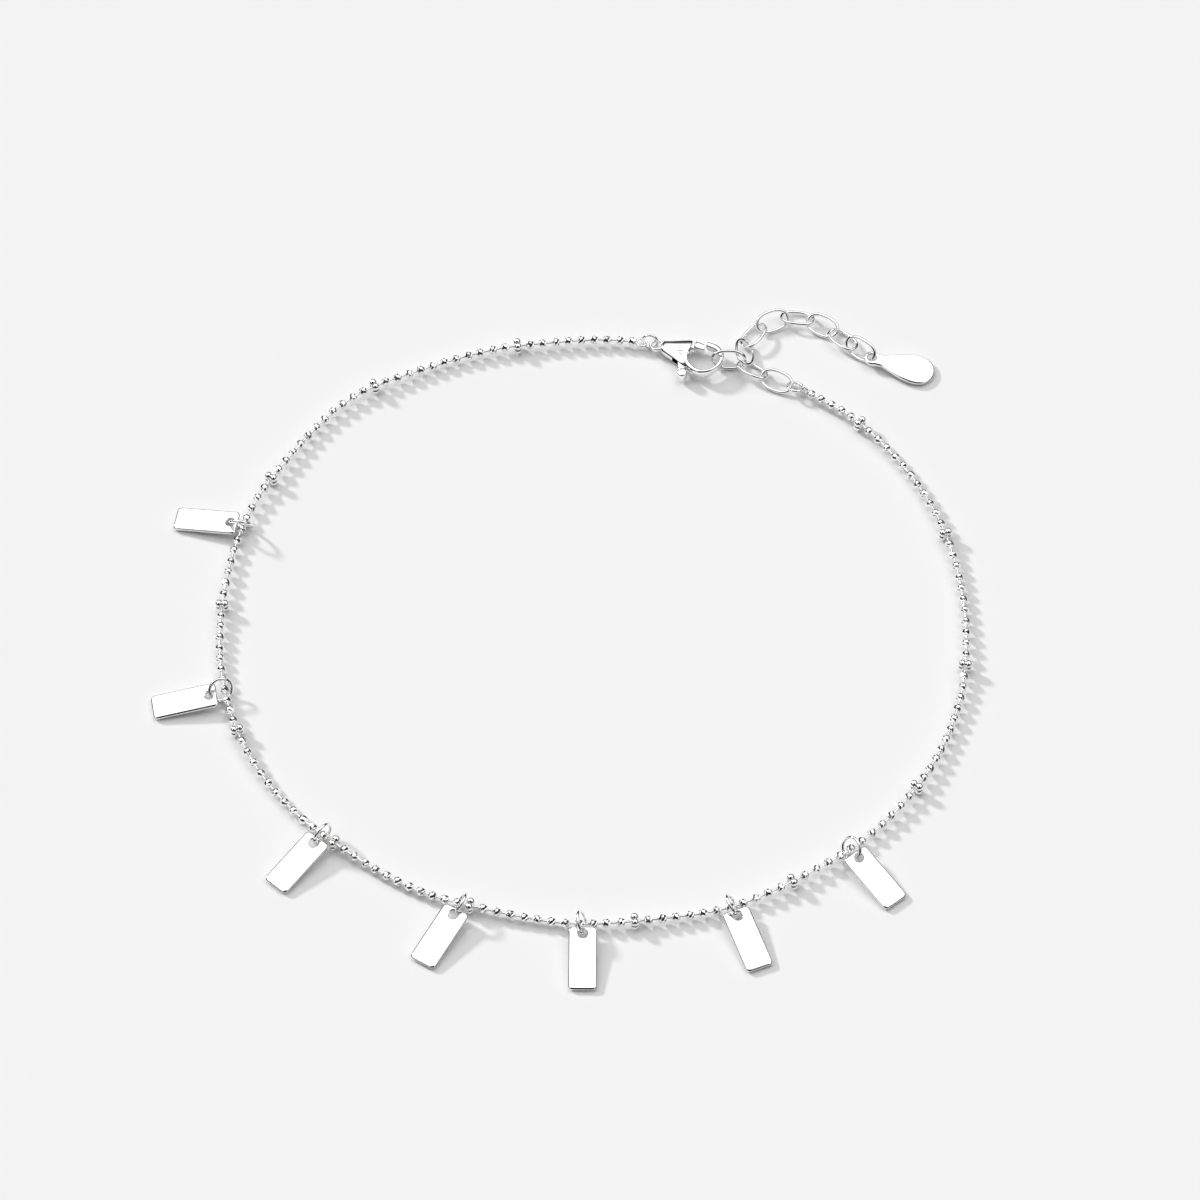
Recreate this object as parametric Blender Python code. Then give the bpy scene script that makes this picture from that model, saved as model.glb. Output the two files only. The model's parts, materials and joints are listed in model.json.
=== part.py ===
"""Chain bracelet: bead strand with accent beads, bar tags, a lobster clasp and an extender."""

import math

import bmesh
import bpy
import numpy as np
from mathutils import Matrix, Vector

MM = 0.001

# Bead strand
BEAD_DIAMETER = 0.88 * MM
BEAD_BAND = 0.34 * MM
PIN_DIAMETER = 0.28 * MM
BEAD_PITCH = 1.33 * MM
STRAND_SAG = 0.16 * MM

# Loops fused to the strand's two ends
END_LOOP_DIAMETER = 1.26 * MM
END_LOOP_WIRE = 0.26 * MM

# Accent beads
ACCENT_DIAMETER = 1.70 * MM
ACCENT_WAIST_DIAMETER = 1.16 * MM
ACCENT_FACE_DIAMETER = 0.96 * MM
ACCENT_LENGTH = 0.84 * MM
ACCENT_BORE_CLEARANCE = 0.07 * MM
ACCENT_LOBES = 4
LOBE_POINTS = 3
ACCENT_BORE_INSET = 0.2
LOOP_ENTRY = 0.4

# Bar tags
TAG_LENGTH = 6.53 * MM
TAG_WIDTH = 2.74 * MM
TAG_THICKNESS = 0.42 * MM
TAG_CORNER_RADIUS = 0.32 * MM
TAG_HOLE_DIAMETER = 0.94 * MM
TAG_HOLE_INSET = 0.74 * MM

# Jump rings of the tags
TAG_RING_DIAMETER = 2.70 * MM
TAG_RING_WIRE = 0.34 * MM
TAG_RING_LEANS = (28.0, -28.0)
TAG_RING_REACH = 0.92
TAG_RING_LIFT = 0.2

# Clasp
CLASP_LENGTH = 8.0 * MM
CLASP_THICKNESS = 1.20 * MM
CLASP_EDGE = 0.24 * MM
CLASP_HEADING = -14.0
CLASP_SLOPE = -3.4
CLASP_TAIL_X = 5.06 * MM
CLASP_TAIL_Y = 31.28 * MM
TAIL_EYE_DIAMETER = 1.56 * MM
TAIL_HOLE_DIAMETER = 0.90 * MM
TAIL_THICKNESS = 0.48 * MM
PIVOT_PIN_DIAMETER = 0.46 * MM
PIVOT_CLEARANCE = 0.05 * MM
LEVER_THICKNESS = 0.46 * MM
LEVER_SIDE_CLEARANCE = 0.06 * MM
GATE_THICKNESS = 0.96 * MM
THUMB_TAB_DIAMETER = 1.06 * MM
THUMB_TAB_LENGTH = 1.04 * MM

# Ring between the strand and the clasp's tail
CLASP_RING_DIAMETER = 1.96 * MM
CLASP_RING_WIRE = 0.30 * MM

# Extender
EXTENDER_RING_DIAMETER = 2.10 * MM
EXTENDER_RING_WIRE = 0.34 * MM
EXTENDER_RING_LEAN = 8.0
EXTENDER_RING_SLOPE = 13.0
EXTENDER_RING_REACH = 1.05
LINK_LENGTH = 3.72 * MM
LINK_WIDTH = 2.36 * MM
LINK_WIRE = 0.35 * MM

# Teardrop end tag
END_TAG_LENGTH = 7.45 * MM
END_TAG_WIDTH = 3.60 * MM
END_TAG_HEAD_WIDTH = 1.66 * MM
END_TAG_NECK_WIDTH = 1.42 * MM
END_TAG_THICKNESS = 0.42 * MM
END_TAG_HOLE_DIAMETER = 0.92 * MM
END_TAG_HOLE_INSET = 0.80 * MM
END_TAG_THROAT = 2.25
END_TAG_SIDE_SHARES = (0.35, 0.70)
END_TAG_SWELL = 1.15

# Height of the lowest wires above the surface that the bracelet lies on
REST_GAP = 0.01 * MM

# Chosen points of the strand's route, from the clasp round to the extender, in mm
STRAND_ROUTE = [
    (4.30, 31.85), (1.0, 32.15), (-2.9, 32.0), (-11.0, 30.9), (-18.8, 28.2), (-26.1, 24.2),
    (-31.6, 17.3), (-35.8, 9.3), (-37.6, 0.0), (-37.4, -9.3), (-34.7, -18.1), (-29.7, -25.3),
    (-23.5, -30.6), (-16.7, -34.6), (-9.4, -36.8), (-2.0, -38.0), (5.5, -37.5), (12.9, -36.0),
    (19.9, -32.5), (26.4, -27.7), (31.8, -21.1), (35.3, -12.9), (36.4, -3.7), (35.3, 5.7),
    (32.0, 14.2), (26.6, 21.4), (20.95, 25.70),
]

# Chosen places of the accents on the route, in mm
ACCENT_PLACES = [
    (-8.6, 31.6), (-23.3, 26.5), (-33.6, 14.5), (-38.0, -1.2), (-35.6, -16.1), (-25.7, -29.1),
    (-12.4, -36.2), (3.2, -37.6), (18.4, -33.3), (30.7, -22.4), (36.0, -8.3), (34.8, 7.7),
    (26.5, 21.5),
]

# Chosen places of the tags: hole x and y in mm, heading and slope in degrees
TAG_PLACES = [
    (-37.25, 8.82, 169.8, 6.6),
    (-38.45, -12.08, -169.6, 6.6),
    (-27.62, -29.22, -130.0, 7.6),
    (-14.02, -37.24, -121.4, 7.6),
    (-1.63, -39.30, -90.4, 6.8),
    (13.18, -37.34, -68.7, 6.8),
    (24.92, -30.92, -51.9, 8.0),
]

# Chosen places of the extender's links: x and y in mm, heading, roll and lift (mm)
LINK_PLACES = [
    (18.40, 26.60, 157.0, -36.0, 0.0),
    (15.75, 27.95, 148.0, 8.0, 0.1),
    (13.30, 29.25, 178.0, -65.0, 0.0),
    (14.95, 30.50, 86.0, 36.0, 0.30),
    (15.90, 32.90, 58.0, -20.0, 0.0),
    (17.90, 34.60, 24.0, 36.0, 0.0),
    (20.50, 35.20, -5.0, -8.0, 0.0),
    (23.05, 34.15, -36.0, 38.0, 0.0),
    (25.15, 32.35, -42.0, -12.0, 0.0),
    (26.90, 30.70, -50.0, 40.0, 0.0),
]

# Place of the end tag: hole x and y in mm, heading and slope in degrees
END_TAG_PLACE = (28.05, 29.75, -14.5, 4.5)

# Clasp's outlines and places, along and across its axis, as shares of its length
TAIL_EYE = (0.090, 0.0525)
PIVOT = (0.4275, -0.04375)
THUMB_TAB = (0.523, -0.3467)
CLASP_OUTER_ARC = [
    (0.750, 0.220), (0.882, 0.188), (0.970, 0.100), (1.009, 0.003), (0.998, -0.107),
    (0.945, -0.207), (0.863, -0.285), (0.762, -0.320), (0.662, -0.307), (0.556, -0.260),
    (0.450, -0.203), (0.338, -0.140), (0.237, -0.085), (0.169, -0.048),
]
CLASP_FAR_EDGE = [
    (0.169, 0.138), (0.237, 0.140), (0.350, 0.172), (0.450, 0.200), (0.525, 0.220),
]
CLASP_EYE_ARC = [
    (0.557, 0.195), (0.527, 0.113), (0.512, 0.013), (0.527, -0.077), (0.578, -0.158),
    (0.657, -0.223), (0.755, -0.250), (0.843, -0.228), (0.907, -0.160), (0.935, -0.070),
    (0.920, 0.020), (0.860, 0.090), (0.748, 0.125),
]
LEVER_OUTLINE = [
    (0.490, -0.362), (0.557, -0.333), (0.525, -0.212), (0.497, -0.100), (0.492, 0.006),
    (0.512, 0.077), (0.578, 0.083), (0.650, 0.072), (0.725, 0.062), (0.700, 0.155),
    (0.637, 0.177), (0.537, 0.188), (0.458, 0.145), (0.403, 0.050), (0.372, -0.037),
    (0.393, -0.115), (0.438, -0.200),
]
GATE_OUTLINE = [
    (0.588, 0.070), (0.655, 0.060), (0.730, 0.052), (0.703, 0.168), (0.640, 0.193),
    (0.588, 0.198),
]
SLOT_OUTLINE = [
    (0.328, -0.338), (0.565, -0.338), (0.555, -0.207), (0.625, -0.050), (0.625, 0.245),
    (0.412, 0.245), (0.357, 0.100), (0.338, -0.013), (0.343, -0.175),
]

# Clearance between a ring or link and what it passes through
WIRE_CLEARANCE = 0.07 * MM
NEIGHBOUR_REACH = 2.4 * MM
CLOUD_STEP = 0.13 * MM
CLOUD_INSET = 0.08 * MM
CLOUD_TURNS = 24
SETTLE_ROUNDS = 8
WELD_DISTANCE = 0.002 * MM
EDGE_SAMPLES = 6

RING_POINTS = 10
LINK_POINTS = 12
HOLE_POINTS = 12
PIN_POINTS = 12


def clear_scene() -> None:
    """Remove every object of the scene."""
    for obj in list(bpy.data.objects):
        bpy.data.objects.remove(obj, do_unlink=True)


def make_collection(name: str) -> bpy.types.Collection:
    """Return a new collection linked to the scene."""
    collection = bpy.data.collections.new(name)
    bpy.context.scene.collection.children.link(collection)
    return collection


def make_material(name: str, colour: tuple, roughness: float) -> bpy.types.Material:
    """Return a metal Principled material."""
    material = bpy.data.materials.new(name)
    material.use_nodes = True
    shader = material.node_tree.nodes["Principled BSDF"]
    shader.inputs["Base Color"].default_value = (*colour, 1.0)
    shader.inputs["Roughness"].default_value = roughness
    shader.inputs["Metallic"].default_value = 1.0
    material.diffuse_color = (*colour, 1.0)
    return material


class Route:
    """A smooth path through chosen points, read by its length."""

    def __init__(self, points: list, steps: int = 24) -> None:
        given = np.array(points, dtype=float)
        first = 2.0 * given[0] - given[1]
        last = 2.0 * given[-1] - given[-2]
        padded = np.vstack([first, given, last])
        u = np.linspace(0.0, 1.0, steps, endpoint=False)[:, None]
        runs = []
        for i in range(len(given) - 1):
            a, b, c, d = padded[i:i + 4]
            runs.append(0.5 * (2.0 * b + (c - a) * u + (2.0 * a - 5.0 * b + 4.0 * c - d) * u ** 2
                               + (3.0 * b - a - 3.0 * c + d) * u ** 3))
        runs.append(given[-1:])
        self.points = np.vstack(runs)
        lengths = np.linalg.norm(np.diff(self.points, axis=0), axis=1)
        self.along = np.concatenate([[0.0], np.cumsum(lengths)])
        self.length = float(self.along[-1])

    def at(self, distance: float) -> np.ndarray:
        """Return the point at a length along the route."""
        return np.array([np.interp(distance, self.along, self.points[:, k]) for k in (0, 1)])

    def nearest(self, x: float, y: float) -> float:
        """Return the length along the route that lies nearest to a spot."""
        apart = np.hypot(self.points[:, 0] - x, self.points[:, 1] - y)
        return float(self.along[int(apart.argmin())])


class Strand:
    """Places of the beads, accents and pins along the route."""

    def __init__(self) -> None:
        self.route = Route([(x * MM, y * MM) for x, y in STRAND_ROUTE])
        self.loop_radius = (END_LOOP_DIAMETER - END_LOOP_WIRE) / 2.0
        self.lead = END_LOOP_DIAMETER / 2.0 + BEAD_DIAMETER / 2.0 - END_LOOP_WIRE / 2.0
        stops = [self.route.nearest(x * MM, y * MM) for x, y in ACCENT_PLACES]
        runs = len(stops) - 1
        self.steps = round((stops[-1] - stops[0]) / runs / BEAD_PITCH)
        ahead = round((stops[0] - self.lead) / BEAD_PITCH)
        behind = round((self.route.length - self.lead - stops[-1]) / BEAD_PITCH)
        self.accents = [ahead + self.steps * k for k in range(len(stops))]
        self.count = self.accents[-1] + behind + 1
        self.pitch = (self.route.length - 2.0 * self.lead) / (self.count - 1)
        self.marks = [0] + self.accents + [self.count - 1]
        self.stops = [self.lead] + stops + [self.route.length - self.lead]
        lobe_turn = 2.0 * math.pi / (LOBE_POINTS * ACCENT_LOBES)
        self.accent_height = ACCENT_DIAMETER / 2.0 * math.cos(lobe_turn) + REST_GAP

    def distance(self, index: float) -> float:
        """Return how far along the route a bead lies."""
        if index < 0.0:
            return self.lead + index * self.pitch
        if index > self.count - 1:
            return self.stops[-1] + (index - self.count + 1) * self.pitch
        return float(np.interp(index, self.marks, self.stops))

    def place(self, index: float) -> Vector:
        """Return the strand's axis point at a bead's number."""
        first = self.accents[0]
        phase = (index - first) / self.steps
        sag = STRAND_SAG * math.sin(math.pi * phase) ** 2
        if index < first or index > self.accents[-1]:
            sag = 0.0
        x, y = self.route.at(self.distance(index))
        return Vector((x, y, self.accent_height - sag))

    def tangent(self, index: float) -> Vector:
        """Return the strand's direction at a bead's number."""
        return (self.place(index + 0.3) - self.place(index - 0.3)).normalized()

    def nearest_pin(self, spot: Vector) -> float:
        """Return the number of the pin that lies nearest to a spot."""
        pins = [i + 0.5 for i in range(1, self.count - 2)]
        return min(pins, key=lambda i: (self.place(i).xy - spot.xy).length)


class Wire:
    """A closed ring or link in its own XY plane, with a pose that neighbours can push."""

    def __init__(self, name: str, corners: list, wire: float, pose: tuple, fixed: bool = False):
        self.name = name
        self.corners = corners
        self.wire = wire
        self.start = np.array(pose, dtype=float)
        self.pose = self.start.copy()
        self.fixed = fixed
        self.leans = [0.0]
        flat = np.array([(x, y, 0.0) for x, y in corners])
        ahead = np.roll(flat, -1, axis=0)
        shares = np.arange(EDGE_SAMPLES) / EDGE_SAMPLES
        self.flat = np.vstack([flat + (ahead - flat) * share for share in shares])

    def matrix(self) -> Matrix:
        """Return the placement of the wire's own plane."""
        x, y, z, heading, slope, roll = self.pose
        return frame_matrix(Vector((x, y, z)), math.degrees(heading), math.degrees(slope),
                            math.degrees(roll))

    def samples(self, pose: np.ndarray) -> np.ndarray:
        """Return points round the middle line at a pose."""
        ch, sh = math.cos(pose[3]), math.sin(pose[3])
        cs, ss = math.cos(pose[4]), math.sin(pose[4])
        cr, sr = math.cos(pose[5]), math.sin(pose[5])
        x_axis = np.array([ch * cs, sh * cs, -ss])
        y_axis = np.array([ch * ss * sr - sh * cr, sh * ss * sr + ch * cr, cs * sr])
        return pose[:3] + self.flat[:, :1] * x_axis + self.flat[:, 1:2] * y_axis

    def cost(self, pose: np.ndarray, places: np.ndarray, sizes: np.ndarray) -> float:
        """Return how far a pose is from free, plus a little for how far it has moved."""
        points = self.samples(pose)
        gaps = np.linalg.norm(points[:, None, :] - places[None, :, :], axis=2) - sizes
        worst = np.sort(gaps.min(axis=0))[:6] - self.wire / 2.0
        short = np.maximum(0.0, WIRE_CLEARANCE - worst) / MM
        low = max(0.0, self.wire / 2.0 + REST_GAP - points[:, 2].min()) / MM
        moved = (pose - self.start) / np.array([MM, MM, MM, 1.0, 1.0, 1.0])
        weights = np.array([1.0, 1.0, 0.3, 0.3, 0.3, 0.3])
        return float(400.0 * (short ** 2).sum() + 2000.0 * low ** 2 + (weights * moved ** 2).sum())

    def ease(self, places: np.ndarray, sizes: np.ndarray) -> None:
        """Move the pose by small steps to the nearest free place."""
        reach = np.array([0.16 * MM, 0.16 * MM, 0.16 * MM, 0.12, 0.12, 0.12])
        best = self.cost(self.pose, places, sizes)
        for _ in range(5):
            moving = True
            tries = 0
            while moving and tries < 8:
                moving = False
                tries += 1
                for axis in range(6):
                    for side in (-1.0, 1.0):
                        pose = self.pose.copy()
                        pose[axis] += side * reach[axis]
                        value = self.cost(pose, places, sizes)
                        if value < best - 1e-9:
                            best = value
                            self.pose = pose
                            moving = True
            reach = reach / 2.0

    def settle_among(self, places: np.ndarray, sizes: np.ndarray) -> None:
        """Ease the pose, trying each way of leaning the first time."""
        outcomes = []
        for lean in self.leans:
            kept = self.pose.copy()
            self.pose[5] += lean
            self.ease(places, sizes)
            outcomes.append((self.cost(self.pose, places, sizes), len(outcomes), self.pose))
            self.pose = kept
        self.pose = min(outcomes)[2]
        self.leans = [0.0]


def plate_cloud(outline: list, hole: float, thickness: float, matrix: Matrix) -> tuple:
    """Return balls that fill a plate's part near its hole, which is at its origin."""
    low = min(x for x, y in outline) + CLOUD_INSET
    far = 2.0 * hole
    side = max(y for x, y in outline if x < far) - CLOUD_INSET
    places = []
    for x in np.arange(low, far, CLOUD_STEP):
        for y in np.arange(-side, side + CLOUD_STEP / 2.0, CLOUD_STEP):
            if math.hypot(x, y) >= hole / 2.0 + CLOUD_INSET:
                places.append(matrix @ Vector((x, y, 0.0)))
    turns = [2.0 * math.pi * i / CLOUD_TURNS for i in range(CLOUD_TURNS)]
    ring = hole / 2.0 + CLOUD_INSET
    places += [matrix @ Vector((ring * math.cos(t), ring * math.sin(t), 0.0)) for t in turns]
    return np.array(places), np.full(len(places), thickness / 2.0)


def strand_cloud(strand: Strand, near: Vector) -> tuple:
    """Return balls along the strand's axis within a few pitches of a spot."""
    places = []
    sizes = []
    bead = BEAD_DIAMETER / 2.0
    pin = PIN_DIAMETER / 2.0
    half_band = BEAD_BAND / 2.0
    for index in np.arange(-0.4, strand.count - 0.6, 0.05):
        spot = strand.place(index)
        if (spot - near).length > NEIGHBOUR_REACH:
            continue
        nearest = round(index)
        off = abs(index - nearest) * strand.pitch
        share = max(0.0, (off - half_band) / (strand.pitch / 2.0 - half_band))
        places.append(spot)
        if nearest in strand.accents:
            sizes.append(ACCENT_DIAMETER / 2.0 if off < ACCENT_LENGTH / 2.0 else pin)
        else:
            sizes.append(bead + (pin - bead) * share)
    return np.array(places).reshape(-1, 3), np.array(sizes)


def densified(points: list) -> list:
    """Return an open outline with points added along its sides."""
    dense = []
    shares = [k / EDGE_SAMPLES for k in range(EDGE_SAMPLES)]
    for (ax, ay), (bx, by) in zip(points[:-1], points[1:]):
        dense += [(ax + (bx - ax) * share, ay + (by - ay) * share) for share in shares]
    return dense + [points[-1]]


def clasp_cloud() -> tuple:
    """Return balls that fill the clasp's hook and its tail eye."""
    places = []
    sizes = []
    outer = densified(scaled(CLASP_OUTER_ARC[:9]))
    for x, y in densified(scaled(CLASP_EYE_ARC[5:])):
        ox, oy = min(outer, key=lambda p: math.hypot(p[0] - x, p[1] - y))
        ball = math.hypot(ox - x, oy - y) / 2.0
        for level in np.linspace(-1.0, 1.0, 5):
            lift = level * (CLASP_THICKNESS / 2.0 - ball)
            places.append(clasp_matrix() @ Vector(((x + ox) / 2.0, (y + oy) / 2.0, lift)))
            sizes.append(ball)
    ball = (TAIL_EYE_DIAMETER - TAIL_HOLE_DIAMETER) / 4.0
    ring = (TAIL_EYE_DIAMETER + TAIL_HOLE_DIAMETER) / 4.0
    for step in range(CLOUD_TURNS):
        turn = 2.0 * math.pi * step / CLOUD_TURNS
        for level in (-1.0, 0.0, 1.0):
            lift = level * max(0.0, TAIL_THICKNESS / 2.0 - 0.8 * ball)
            round_eye = Vector((ring * math.cos(turn), ring * math.sin(turn), lift))
            places.append(clasp_matrix() @ (clasp_point(TAIL_EYE) + round_eye))
            sizes.append(ball)
    return np.array(places), np.array(sizes)


def settle(wires: list, strand: Strand, clouds: list) -> None:
    """Ease each ring and link in turn until they lie free of each other and of the solids."""
    for _ in range(SETTLE_ROUNDS):
        for wire in wires:
            if wire.fixed:
                continue
            spot = Vector(wire.pose[:3])
            places = []
            sizes = []
            for cloud, radii in clouds + [strand_cloud(strand, spot)]:
                if len(cloud) == 0:
                    continue
                near = np.linalg.norm(cloud - wire.pose[:3], axis=1) < NEIGHBOUR_REACH
                places.append(cloud[near])
                sizes.append(radii[near])
            for other in wires:
                apart = np.linalg.norm(other.pose[:3] - wire.pose[:3])
                if other is not wire and apart < NEIGHBOUR_REACH + LINK_LENGTH / 2.0:
                    points = other.samples(other.pose)
                    places.append(points)
                    sizes.append(np.full(len(points), other.wire / 2.0))
            wire.settle_among(np.vstack(places), np.concatenate(sizes))


def new_object(name: str, data: bpy.types.ID, group: bpy.types.Collection,
               material: bpy.types.Material) -> bpy.types.Object:
    """Link a new object with one material to a collection."""
    obj = bpy.data.objects.new(name, data)
    if material is not None:
        data.materials.append(material)
    group.objects.link(obj)
    return obj


def wire_curve(name: str, points: list, wire: float, closed: bool, resolution: int,
               radii: list = None) -> bpy.types.Curve:
    """Return a poly curve with a round section along the points."""
    curve = bpy.data.curves.new(name, "CURVE")
    curve.dimensions = "3D"
    curve.bevel_depth = wire / 2.0
    curve.bevel_resolution = resolution
    curve.use_fill_caps = True
    spline = curve.splines.new("POLY")
    spline.points.add(len(points) - 1)
    for i, point in enumerate(points):
        spline.points[i].co = (*point, 1.0)
        if radii is not None:
            spline.points[i].radius = radii[i]
    spline.use_cyclic_u = closed
    return curve


def flat_curve(name: str, outlines: list, thickness: float, edge: float = 0.0) -> bpy.types.Curve:
    """Return a filled flat outline, with holes, of a thickness and an edge radius."""
    curve = bpy.data.curves.new(name, "CURVE")
    curve.dimensions = "2D"
    curve.fill_mode = "BOTH"
    curve.extrude = thickness / 2.0 - edge
    if edge > 0.0:
        curve.bevel_depth = edge
        curve.bevel_resolution = 1
        curve.offset = -edge
    for outline in outlines:
        spline = curve.splines.new("POLY")
        spline.points.add(len(outline) - 1)
        for i, (x, y) in enumerate(outline):
            spline.points[i].co = (x, y, 0.0, 1.0)
        spline.use_cyclic_u = True
    return curve


def to_mesh(obj: bpy.types.Object, group: bpy.types.Collection) -> bpy.types.Object:
    """Replace a curve object with its welded mesh."""
    bpy.context.view_layer.update()
    graph = bpy.context.evaluated_depsgraph_get()
    mesh = bpy.data.meshes.new_from_object(obj.evaluated_get(graph))
    work = bmesh.new()
    work.from_mesh(mesh)
    bmesh.ops.remove_doubles(work, verts=work.verts, dist=WELD_DISTANCE)
    bmesh.ops.recalc_face_normals(work, faces=work.faces)
    work.to_mesh(mesh)
    work.free()
    name = obj.name
    matrix = obj.matrix_world.copy()
    bpy.data.objects.remove(obj, do_unlink=True)
    made = bpy.data.objects.new(name, mesh)
    made.matrix_world = matrix
    group.objects.link(made)
    return made


def add_boolean(obj: bpy.types.Object, other: bpy.types.Object, operation: str) -> None:
    """Join another solid to an object or cut it from the object."""
    modifier = obj.modifiers.new(operation.title(), "BOOLEAN")
    modifier.operation = operation
    modifier.object = other
    other.hide_render = True
    other.display_type = "WIRE"


def circle_points(diameter: float, count: int, centre: tuple = (0.0, 0.0)) -> list:
    """Return points round a circle."""
    turns = [2.0 * math.pi * (i + 0.5) / count for i in range(count)]
    radius = diameter / 2.0
    return [(centre[0] + radius * math.cos(t), centre[1] + radius * math.sin(t)) for t in turns]


def frame_matrix(origin: Vector, heading: float, slope: float, roll: float = 0.0) -> Matrix:
    """Return the placement of a piece whose X axis runs along its heading, falling by its slope."""
    return (Matrix.Translation(origin) @ Matrix.Rotation(math.radians(heading), 4, "Z")
            @ Matrix.Rotation(math.radians(slope), 4, "Y")
            @ Matrix.Rotation(math.radians(roll), 4, "X"))


def build_strand(strand: Strand, group: bpy.types.Collection, cutters: bpy.types.Collection,
                 metal: bpy.types.Material) -> None:
    """Build the beads and pins as one body with a loop at each end."""
    entry = LOOP_ENTRY * strand.lead / strand.pitch
    points = [strand.place(-entry)]
    radii = [PIN_DIAMETER / BEAD_DIAMETER]
    half_band = BEAD_BAND / 2.0 / strand.pitch
    for index in range(strand.count):
        if index not in strand.accents:
            points.append(strand.place(index - half_band))
            points.append(strand.place(index + half_band))
            radii += [1.0, 1.0]
        if index < strand.count - 1:
            points.append(strand.place(index + 0.5))
            radii.append(PIN_DIAMETER / BEAD_DIAMETER)
    points.append(strand.place(strand.count - 1 + entry))
    radii.append(PIN_DIAMETER / BEAD_DIAMETER)
    curve = wire_curve("bead_chain", points, BEAD_DIAMETER, False, 3, radii)
    chain = to_mesh(new_object("bead_chain", curve, group, None), group)
    chain.data.materials.clear()
    chain.data.materials.append(metal)
    for loop in end_loops(strand):
        curve = wire_curve(loop.name, placed_corners(loop), END_LOOP_WIRE, True, 1)
        made = to_mesh(new_object(loop.name, curve, cutters, None), cutters)
        add_boolean(chain, made, "UNION")


def end_loops(strand: Strand) -> list:
    """Return the strand's two end loops: the first lies flat, the second stands."""
    corners = circle_points(2.0 * strand.loop_radius, RING_POINTS)
    loops = []
    for index, side, roll, name in ((0, -1.0, 0.0, "first_loop"),
                                    (strand.count - 1, 1.0, math.pi / 2.0, "last_loop")):
        run = strand.tangent(index)
        centre = strand.place(index) + run * (side * strand.lead)
        heading = math.atan2(run.y, run.x)
        loops.append(Wire(name, corners, END_LOOP_WIRE, (*centre, heading, 0.0, roll), True))
    return loops


def placed_corners(wire: Wire) -> list:
    """Return a wire's corners at its pose."""
    return [wire.matrix() @ Vector((x, y, 0.0)) for x, y in wire.corners]


def build_accents(strand: Strand, group: bpy.types.Collection, metal: bpy.types.Material) -> None:
    """Build each accent as a ring whose outside swells into lobes."""
    bore = PIN_DIAMETER / 2.0 + ACCENT_BORE_CLEARANCE
    half = ACCENT_LENGTH / 2.0
    face = ACCENT_FACE_DIAMETER / 2.0
    inset = ACCENT_BORE_INSET * half
    samples = LOBE_POINTS * ACCENT_LOBES
    work = bmesh.new()
    rows = []
    for k in range(samples):
        turn = 2.0 * math.pi * k / samples
        waist = k % LOBE_POINTS == 0
        crest = ACCENT_WAIST_DIAMETER / 2.0 if waist else ACCENT_DIAMETER / 2.0
        section = [(inset - half, bore), (-half, face), (0.0, crest), (half, face),
                   (half - inset, bore)]
        rows.append([work.verts.new((x, r * math.cos(turn), r * math.sin(turn)))
                     for x, r in section])
    for k in range(samples):
        here = rows[k]
        there = rows[(k + 1) % samples]
        for j in range(len(here)):
            m = (j + 1) % len(here)
            work.faces.new((here[j], here[m], there[m], there[j]))
    bmesh.ops.recalc_face_normals(work, faces=work.faces)
    mesh = bpy.data.meshes.new("accent")
    work.to_mesh(mesh)
    work.free()
    mesh.materials.append(metal)
    for number, index in enumerate(strand.accents, start=1):
        obj = bpy.data.objects.new(f"accent_{number:02d}", mesh)
        run = strand.tangent(index)
        obj.location = strand.place(index)
        obj.rotation_euler = (0.0, 0.0, math.atan2(run.y, run.x))
        group.objects.link(obj)


def tag_outline() -> list:
    """Return the bar tag's outline with its hole at the origin."""
    left = -TAG_HOLE_INSET
    right = TAG_LENGTH - TAG_HOLE_INSET
    half = TAG_WIDTH / 2.0
    r = TAG_CORNER_RADIUS
    corners = [(right - r, half - r, 0.0), (left + r, half - r, 90.0),
               (left + r, r - half, 180.0), (right - r, r - half, 270.0)]
    points = []
    for x, y, start in corners:
        for step in range(4):
            turn = math.radians(start + 30.0 * step)
            points.append((x + r * math.cos(turn), y + r * math.sin(turn)))
    return points


def tag_matrix(place: tuple) -> Matrix:
    """Return a bar tag's placement, with its hole at the origin and its free end lowest."""
    x, y, heading, slope = place
    rise = (TAG_LENGTH - TAG_HOLE_INSET) * math.sin(math.radians(slope))
    centre = Vector((x * MM, y * MM, rise + TAG_THICKNESS / 2.0 + REST_GAP))
    return frame_matrix(centre, heading, slope)


def build_tags(group: bpy.types.Collection, metal: bpy.types.Material) -> None:
    """Build the bar tags."""
    hole = circle_points(TAG_HOLE_DIAMETER, HOLE_POINTS)
    for number, place in enumerate(TAG_PLACES, start=1):
        curve = flat_curve(f"bar_tag_{number}", [tag_outline(), hole], TAG_THICKNESS)
        tag = new_object(f"bar_tag_{number}", curve, group, metal)
        tag.matrix_world = tag_matrix(place)


def tag_rings(strand: Strand) -> list:
    """Return the tags' jump rings, each through its tag's hole and round the nearest pin."""
    radius = (TAG_RING_DIAMETER - TAG_RING_WIRE) / 2.0
    corners = circle_points(2.0 * radius, RING_POINTS)
    rings = []
    for number, place in enumerate(TAG_PLACES, start=1):
        hole = tag_matrix(place).translation
        pin = strand.place(strand.nearest_pin(hole))
        run = (pin - hole).normalized()
        reach = TAG_RING_REACH * radius
        centre = hole + run * reach
        centre.z = max(centre.z + TAG_RING_LIFT * radius, reach)
        heading = math.atan2(run.y, run.x)
        ring = Wire(f"tag_ring_{number}", corners, TAG_RING_WIRE,
                    (*centre, heading, 0.0, math.pi / 2.0))
        ring.leans = [math.radians(lean) for lean in TAG_RING_LEANS]
        rings.append(ring)
    return rings


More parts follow.
